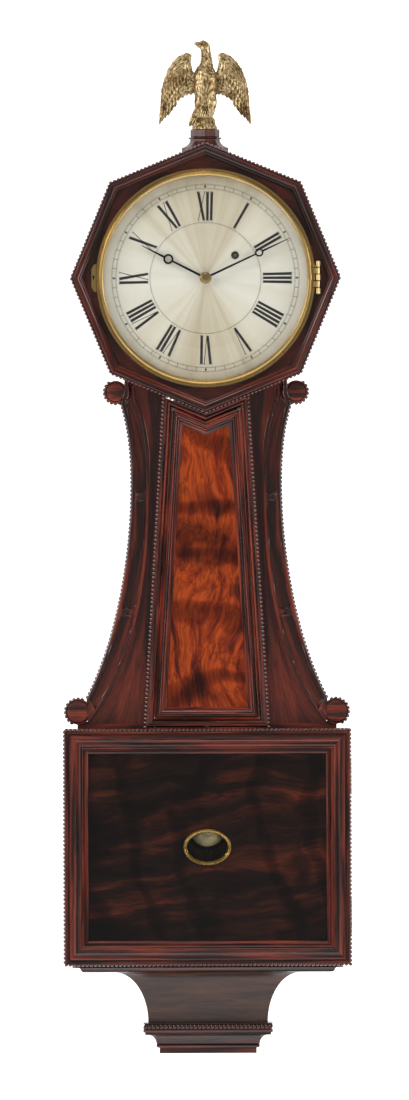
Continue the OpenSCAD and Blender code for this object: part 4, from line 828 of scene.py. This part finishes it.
for side in (-1, 1):
    foot_x = 0.4 + 7 * side
    legs.append(limb([(1 + 5.5 * side, 2, 42), (1 + 7.5 * side, 3.6, 33), (0.6 + 7.6 * side, 4.6, 24),
                      (foot_x, 5, 17)], [7.4, 6.9, 4.8, 2.9], 24, 0.9, scaled(8, 9, 0.8)))
    legs.append(limb([(foot_x, 5, 18), (foot_x, 5.4, 12.6)], [2.3, 2.6], 12))
    for spread in (-1, 0, 1):
        legs.append(limb([(foot_x, 5.4, 13.2), (foot_x + 2.4 * spread, 8.8, 12.6),
                          (foot_x + 4.0 * spread, 10.6, 10.2), (foot_x + 4.4 * spread, 10.9, 7.4)],
                         [2.0, 1.7, 1.4, 0.4], 10))
fan = np.linspace(0, 1, 8)
tail_roots = np.stack([-3 + 6 * fan, np.full(len(fan), 42.0)], 1)
tail_tips = np.stack([-19.5 + 27 * fan, 3.6 + 3.6 * fan], 1)
body.append(feathers(tail_roots, tail_tips, 7.0, -9.5 + 0.3 * np.arange(8), thick=1.4))
wobble = np.random.default_rng(7)
around, up = np.radians(np.arange(0, 360, 9)), np.linspace(0, 1, 12)[:, None]
rocks = sum(0.5 / k * np.sin(k * 3 * around + wobble.uniform(0, 6) + 5 * k * up) for k in (1, 2, 3))
mound_r = np.interp(up, [0, 0.12, 0.3, 0.8, 0.95, 1], [15.6, 15.8, 14.4, 11.6, 10, 0.1])
mound_r = mound_r + 1.2 * rocks * np.interp(up, [0, 0.9, 1], [1, 1, 0])
mound_depth = mound_r * 0.86 * np.sin(around) + 1.5
mound = np.stack(np.broadcast_arrays(mound_r * np.cos(around), mound_depth, 13.6 * up), 2)
body.append(skins(on_plinth(mound)[None]))


def cast_brass(name):
    """Cast brass with painted light and shade: fine noise stretched along each feather's own UV paints pale
    streaks as a painted highlight and dark streaks as painted shade between the barbs, under a broad cloud of
    brown tarnish, and the same noise dents it."""
    material, shader = finish(name, Metallic=1.0)
    own = node(material, "UVMap", uv_map="grain").outputs[0]
    fibre = mapped(material, own, Rotation=(0, 0, 0.25), Scale=(210, 620, 1))
    barbs_with_painted_light = noise(material, fibre, detail=3.0, Roughness=0.6)
    # The ramp's dark low stops are painted shade between the barbs, and its pale top stop is a painted
    # highlight.
    tint = ramp(material, barbs_with_painted_light, [(0.34, tone(62, 46, 30)), (0.44, tone(138, 114, 76)),
                                  (0.53, tone(186, 162, 118)), (0.66, tone(230, 214, 178))])
    cloud = noise(material, own_place(material), 75.0, 4.0)
    brown = ramp(material, cloud, [(0.36, (0.36, 0.28, 0.2, 1)), (0.56, (1, 1, 1, 1))])
    colour = darkened(material, 0.9, tint, brown)
    return dress(material, shader, colour, (barbs_with_painted_light, 0.62, 0.3), (barbs_with_painted_light, 0.7, 0.0008))


piece("eagle_casting", body + legs + wing + mirrored(wing), cast_brass("antique_cast_brass"), "case",
      "brass_antique", "eagle_finial", sharp=60)

# ---- Dial ----
# The dial is a brass sheet brushed round its centre and silvered, with its numerals, minute track and
# circles engraved and filled black. A hole at the upper right lets the key reach the winding square.

DIAL_FACE = HEAD_DEPTH - 8.0
WAX_DEPTHS = (DIAL_FACE - 0.1, DIAL_FACE + 0.12)
NUMERALS = ["XII", "I", "II", "III", "IIII", "V", "VI", "VII", "VIII", "IX", "X", "XI"]
THICK, THIN = 3.5, 0.9
NUMERAL_FOOT, NUMERAL_TOP = 71.8, 107.0
LETTER_W = {"I": 5.3, "V": 11.0, "X": 11.2}
STROKES = {"I": [(-THICK / 2, THICK / 2, -THICK / 2, THICK / 2)],
           "V": [(-5.0, -5.0 + THICK, -THICK / 2, THICK / 2), (4.2, 4.2 + THIN, 0.5, 0.5 + THIN)],
           "X": [(-5.1, -5.1 + THICK, 5.1 - THICK, 5.1), (4.2, 4.2 + THIN, -4.2 - THIN, -4.2)]}
SERIFS = {"I": [(1, -2.3, 2.3), (0, -2.3, 2.3)], "V": [(1, -5.5, -1.2), (1, 3.0, 5.6)],
          "X": [(1, -5.5, -1.2), (1, 3.0, 5.6), (0, 1.2, 5.5), (0, -5.6, -3.0)]}


def engraved(quads, angles):
    """Thin filled shapes from corners given as (across, out) beside a radius at a clockwise angle.
    Across narrows a little towards the centre, as an engraver lays out a chapter."""
    quads, angles = np.asarray(quads, float), np.radians(np.asarray(angles, float))[:, None]
    out = quads[..., 1]
    across = quads[..., 0] * (0.88 + 0.12 * (out - NUMERAL_FOOT) / (NUMERAL_TOP - NUMERAL_FOOT))
    x = out * np.sin(angles) + across * np.cos(angles)
    up = out * np.cos(angles) - across * np.sin(angles)
    return skins(np.stack([np.stack([x, np.full_like(x, depth), up], 2) for depth in WAX_DEPTHS], 1))


quads, angles = [], []
for hour, word in enumerate(NUMERALS):
    at = -sum(LETTER_W[letter] for letter in word) / 2
    for letter in word:
        mid = at + LETTER_W[letter] / 2
        at += LETTER_W[letter]
        for left_top, right_top, left_foot, right_foot in STROKES[letter]:
            quads.append([(mid + left_foot, NUMERAL_FOOT), (mid + right_foot, NUMERAL_FOOT),
                          (mid + right_top, NUMERAL_TOP), (mid + left_top, NUMERAL_TOP)])
            angles.append(30 * hour)
        for is_top, left, right in SERIFS[letter]:
            out = NUMERAL_TOP if is_top else NUMERAL_FOOT
            quads.append([(mid + left, out - 0.35), (mid + right, out - 0.35),
                          (mid + right, out + 0.35), (mid + left, out + 0.35)])
            angles.append(30 * hour)
marks = [engraved(quads, angles)]
TRACK_IN, TRACK_OUT, HOUR_RING, LINE = 111.4, 116.4, 69.1, 0.26
tick = np.array([(-LINE, TRACK_IN), (LINE, TRACK_IN), (LINE, TRACK_OUT), (-LINE, TRACK_OUT)])
marks.append(engraved(np.broadcast_to(tick, (60, 4, 2)), 6 * np.arange(60)))
dot = arc(1.35, 0, 330, 12) + [0, (TRACK_IN + TRACK_OUT) / 2]
marks.append(engraved(np.broadcast_to(dot, (12, 12, 2)), 30 * np.arange(12)))
low, high = WAX_DEPTHS
for radius in (TRACK_OUT, TRACK_IN, HOUR_RING):
    marks.append(turned((0, 0), [(radius - LINE, low), (radius + LINE, low),
                                 (radius + LINE, high), (radius - LINE, high)], 180))
ink, ink_shader = finish("black_wax", Roughness=0.5)
specks = noise(ink, own_place(ink), 700.0, 3.0)
dress(ink, ink_shader, ramp(ink, specks, [(0.35, tone(12, 12, 14)), (0.75, tone(44, 42, 42))]))
piece("dial_engraving", marks, ink, "case", "ink", "dial_marks")


def silvering():
    """Silvered brass brushed round the centre: the tone swings warm and pale twice in a turn, a painted sheen
    standing for the bow of highlight that round brushing shows, fine rings roughen it, and a faint cloud of age
    lies over it."""
    material, shader = finish("silvered_brass", Metallic=0.35, IOR=1.6)
    place = own_place(material)
    spot = node(material, "SeparateXYZ", {"Vector": place})
    angle = node(material, "Math", {0: spot.outputs["X"], 1: spot.outputs["Z"]}, operation="ARCTAN2")
    flat = node(material, "CombineXYZ", {"X": spot.outputs["X"], "Y": spot.outputs["Z"]})
    radius = node(material, "VectorMath", {0: flat.outputs[0]}, operation="LENGTH")
    # Painted sheen: the cosine of twice the angle turns the top and bottom tan and the sides pale, as a brushed
    # highlight falls.
    painted_sheen_angle = node(material, "Math", {0: angle.outputs[0], 1: 2.0}, operation="MULTIPLY")
    swing = node(material, "Math", {0: painted_sheen_angle.outputs[0]}, operation="COSINE")
    outwards = node(material, "CombineXYZ", {"X": radius.outputs["Value"]}).outputs[0]
    around = node(material, "CombineXYZ", {"X": angle.outputs[0]}).outputs[0]
    rings = noise(material, outwards, 2600.0)
    spokes = noise(material, around, 3.2, 4.0, Roughness=0.6)
    cloud = noise(material, place, 16.0, 5.0)
    painted_sheen_and_spokes = node(material, "Math", {0: swing.outputs[0], 1: 0.26, 2: spokes}, operation="MULTIPLY_ADD")
    age_and_painted_sheen = node(material, "Math", {0: cloud, 1: 0.25, 2: painted_sheen_and_spokes.outputs[0]}, operation="MULTIPLY_ADD")
    colour = ramp(material, age_and_painted_sheen.outputs[0], [(0.28, tone(242, 237, 224)), (0.62, tone(234, 226, 207)),
                                              (0.98, tone(206, 191, 163))])
    return dress(material, shader, colour, (rings, 0.34, 0.56), (rings, 0.12, 0.0002))


coat(silvering(), "dial_plate")

# ---- Hands ----
# Two blued steel hands with an open ring each, sawn from sheet and polished, held by a brass collet
# and a pin.


def steel(name, colour, rough, dark=0.6):
    """Polished steel with fine scratches and a slow change of tone over its surface."""
    material, shader = finish(name, Metallic=1.0)
    cloud = noise(material, own_place(material), 90.0, 4.0)
    tint = ramp(material, cloud, [(0.35, shaded(colour, dark)), (0.65, colour)])
    return dress(material, shader, tint, (cloud, rough - 0.06, rough + 0.12))


coat(steel("blued_steel", tone(46, 46, 58), 0.3), "hour_hand", "minute_hand")
coat(brass("collet_brass", tone(150, 128, 84), 0.3, 0.05, 0.3), "hand_collet")

# ---- Bezel ----
# A cast brass ring turned with a lip, a groove and a half round, hinged at the right with five
# knuckles and locked at the left by a small bolt behind a lug. It holds a domed glass.

def knuckled(name, pitch):
    """Hinge brass with a dark line at each joint between two knuckles, one pitch apart up the pin."""
    material = brass(name, tone(214, 190, 134), 0.26, 0.05, 0.2)
    shader = material.node_tree.nodes["Principled BSDF"]
    spot = node(material, "SeparateXYZ", {"Vector": own_place(material)})
    knuckle = node(material, "Math", {0: spot.outputs["Z"], 1: 1 / pitch, 2: 0.5}, operation="MULTIPLY_ADD")
    along = node(material, "Math", {0: knuckle.outputs[0]}, operation="FRACT").outputs[0]
    dark, plain = (0.06, 0.04, 0.02, 1), (1, 1, 1, 1)
    joint = ramp(material, along, [(0.0, dark), (0.05, dark), (0.1, plain), (0.9, plain), (0.95, dark),
                                   (1.0, dark)])
    metal = shader.inputs["Base Color"].links[0].from_socket
    return dress(material, shader, darkened(material, 1.0, metal, joint))


KNUCKLE = 0.00834
coat(brass("bezel_brass", tone(196, 166, 108), 0.24, 0.02, 0.15), "bezel", "bezel_lug")
coat(knuckled("hinge_brass", KNUCKLE),
     "bezel_hinge_leaf", "fixed_hinge_leaves", "hinge_pins", "door_hinge_leaves")
coat(brass("bolt_brass", tone(60, 48, 30), 0.45, 0.08, 0.5), "lock_bolt")
coat(clear_glass("domed_glass", 0.35), "bezel_glass")

# ---- Movement, weight and wall side ----
# An eight-day weight movement between brass plates, its cord over a pulley to an iron weight in the
# trunk behind a tin guard, and a pendulum in front with a brass-cased bob.

coat(brass("clock_brass", tone(206, 172, 96), 0.24, 0.15, 0.2), "back_plate", "front_plate", "pillars",
     "great_wheel", "centre_wheel", "third_wheel", "escape_wheel", "cannon_pinion", "minute_wheel",
     "hour_wheel", "suspension_cock", "pendulum_rod", "dial_feet", "rating_nut", "pulley", "hanger_plate")
coat(brass("bob_brass", tone(176, 160, 124), 0.34, 0.1, 0.35), "pendulum_bob")
coat(steel("bright_steel", tone(168, 168, 172), 0.28, 0.8), "case_screws", "winding_drum", "click", "pallets")


def plain_coat(name, dark, light, scale, rough, lump):
    """A dull surface in two tones, lumpy at one scale: cast iron, painted tin, gut."""
    material, shader = finish(name)
    cloud = noise(material, own_place(material), scale, 6.0, Roughness=0.6)
    tint = ramp(material, cloud, [(0.35, dark), (0.65, light)])
    return dress(material, shader, tint, (cloud, rough, rough + 0.2), (cloud, lump, 0.0006))


coat(plain_coat("cast_iron", tone(40, 38, 37), tone(66, 62, 60), 160.0, 0.6, 0.5), "weight")
coat(plain_coat("painted_tin", tone(22, 22, 23), tone(40, 39, 38), 50.0, 0.45, 0.15), "weight_guard")
coat(plain_coat("gut_cord", tone(150, 118, 72), tone(190, 160, 108), 500.0, 0.5, 0.4), "cord")
coat(polished_wood("plain_pine", [(0.3, tone(120, 82, 48)), (0.5, tone(158, 114, 70)),
                                  (0.7, tone(186, 142, 94))],
                   grain="OBJECT", turn=(0, math.radians(90), 0), streak=40.0, gloss=0.55), "back_board")

# ---- Studio ----
# A pale floor that curves up into a pale wall, soft light from both sides, and the camera level with
# the middle of the clock.

FLOOR_Z, SWEEP_R, WALL_Y, FAR = -1.35, 0.8, 1.4, 6.0
sweep_turn = np.linspace(0, math.pi / 2, 24)
curve = [WALL_Y - SWEEP_R, FLOOR_Z + SWEEP_R] + SWEEP_R * np.stack([np.sin(sweep_turn), -np.cos(sweep_turn)], 1)
sweep = np.concatenate([[[-FAR, FLOOR_Z]], curve, [[WALL_Y, FAR]]])
stage_points = np.stack(np.broadcast_arrays([[-FAR, FAR]], sweep[:, :1], sweep[:, 1:]), 2).reshape(-1, 3)
rows = np.arange(len(sweep) - 1)[:, None] * 2
stage_mesh = bpy.data.meshes.new("studio_floor")
stage_mesh.from_pydata(stage_points, [], np.concatenate([rows, rows + 1, rows + 3, rows + 2], 1).tolist())
stage_mesh.shade_smooth()
stage_mesh.materials.append(finish("studio_white", Base_Color=(0.86, 0.86, 0.86, 1), Roughness=0.9,
                                   Emission_Color=(1, 1, 1, 1), Emission_Strength=0.55)[0])
floor = bpy.data.objects.new("studio_floor", stage_mesh)
bpy.context.scene.collection.objects.link(floor)


def softbox(name, place, target, size, power):
    """A square lamp that faces a point."""
    lamp = bpy.data.lights.new(name, "AREA")
    lamp.size = size
    lamp.energy = power
    made = bpy.data.objects.new(name, lamp)
    made.location = place
    made.rotation_euler = (Vector(target) - Vector(place)).to_track_quat("-Z", "Y").to_euler()
    bpy.context.scene.collection.objects.link(made)


softbox("left_softbox", (-2.4, -1.7, 0.8), (0, -0.1, -0.25), 1.4, 64)
softbox("right_softbox", (2.5, -1.5, 0.3), (0, -0.1, -0.4), 1.2, 42)
softbox("top_softbox", (0.0, -1.6, 2.2), (0, -0.1, 0.0), 1.2, 24)
world = bpy.data.worlds.new("studio_air")
world.use_nodes = True
world.node_tree.nodes["Background"].inputs["Color"].default_value = (1, 1, 1, 1)
world.node_tree.nodes["Background"].inputs["Strength"].default_value = 0.22
bpy.context.scene.world = world
bpy.context.scene.view_settings.view_transform = "Standard"

VIEW_HEIGHT, CAMERA_AWAY = 1.3695, 15.92
eye = bpy.data.cameras.new("studio_camera")
eye.sensor_fit = "VERTICAL"
eye.angle = 2 * math.atan(VIEW_HEIGHT / 2 / CAMERA_AWAY)
camera = bpy.data.objects.new("studio_camera", eye)
camera.location = (-0.0024, -0.08 - CAMERA_AWAY, -0.3383)
camera.rotation_euler = (math.radians(90), math.radians(0.2), 0)
bpy.context.scene.collection.objects.link(camera)
bpy.context.scene.camera = camera
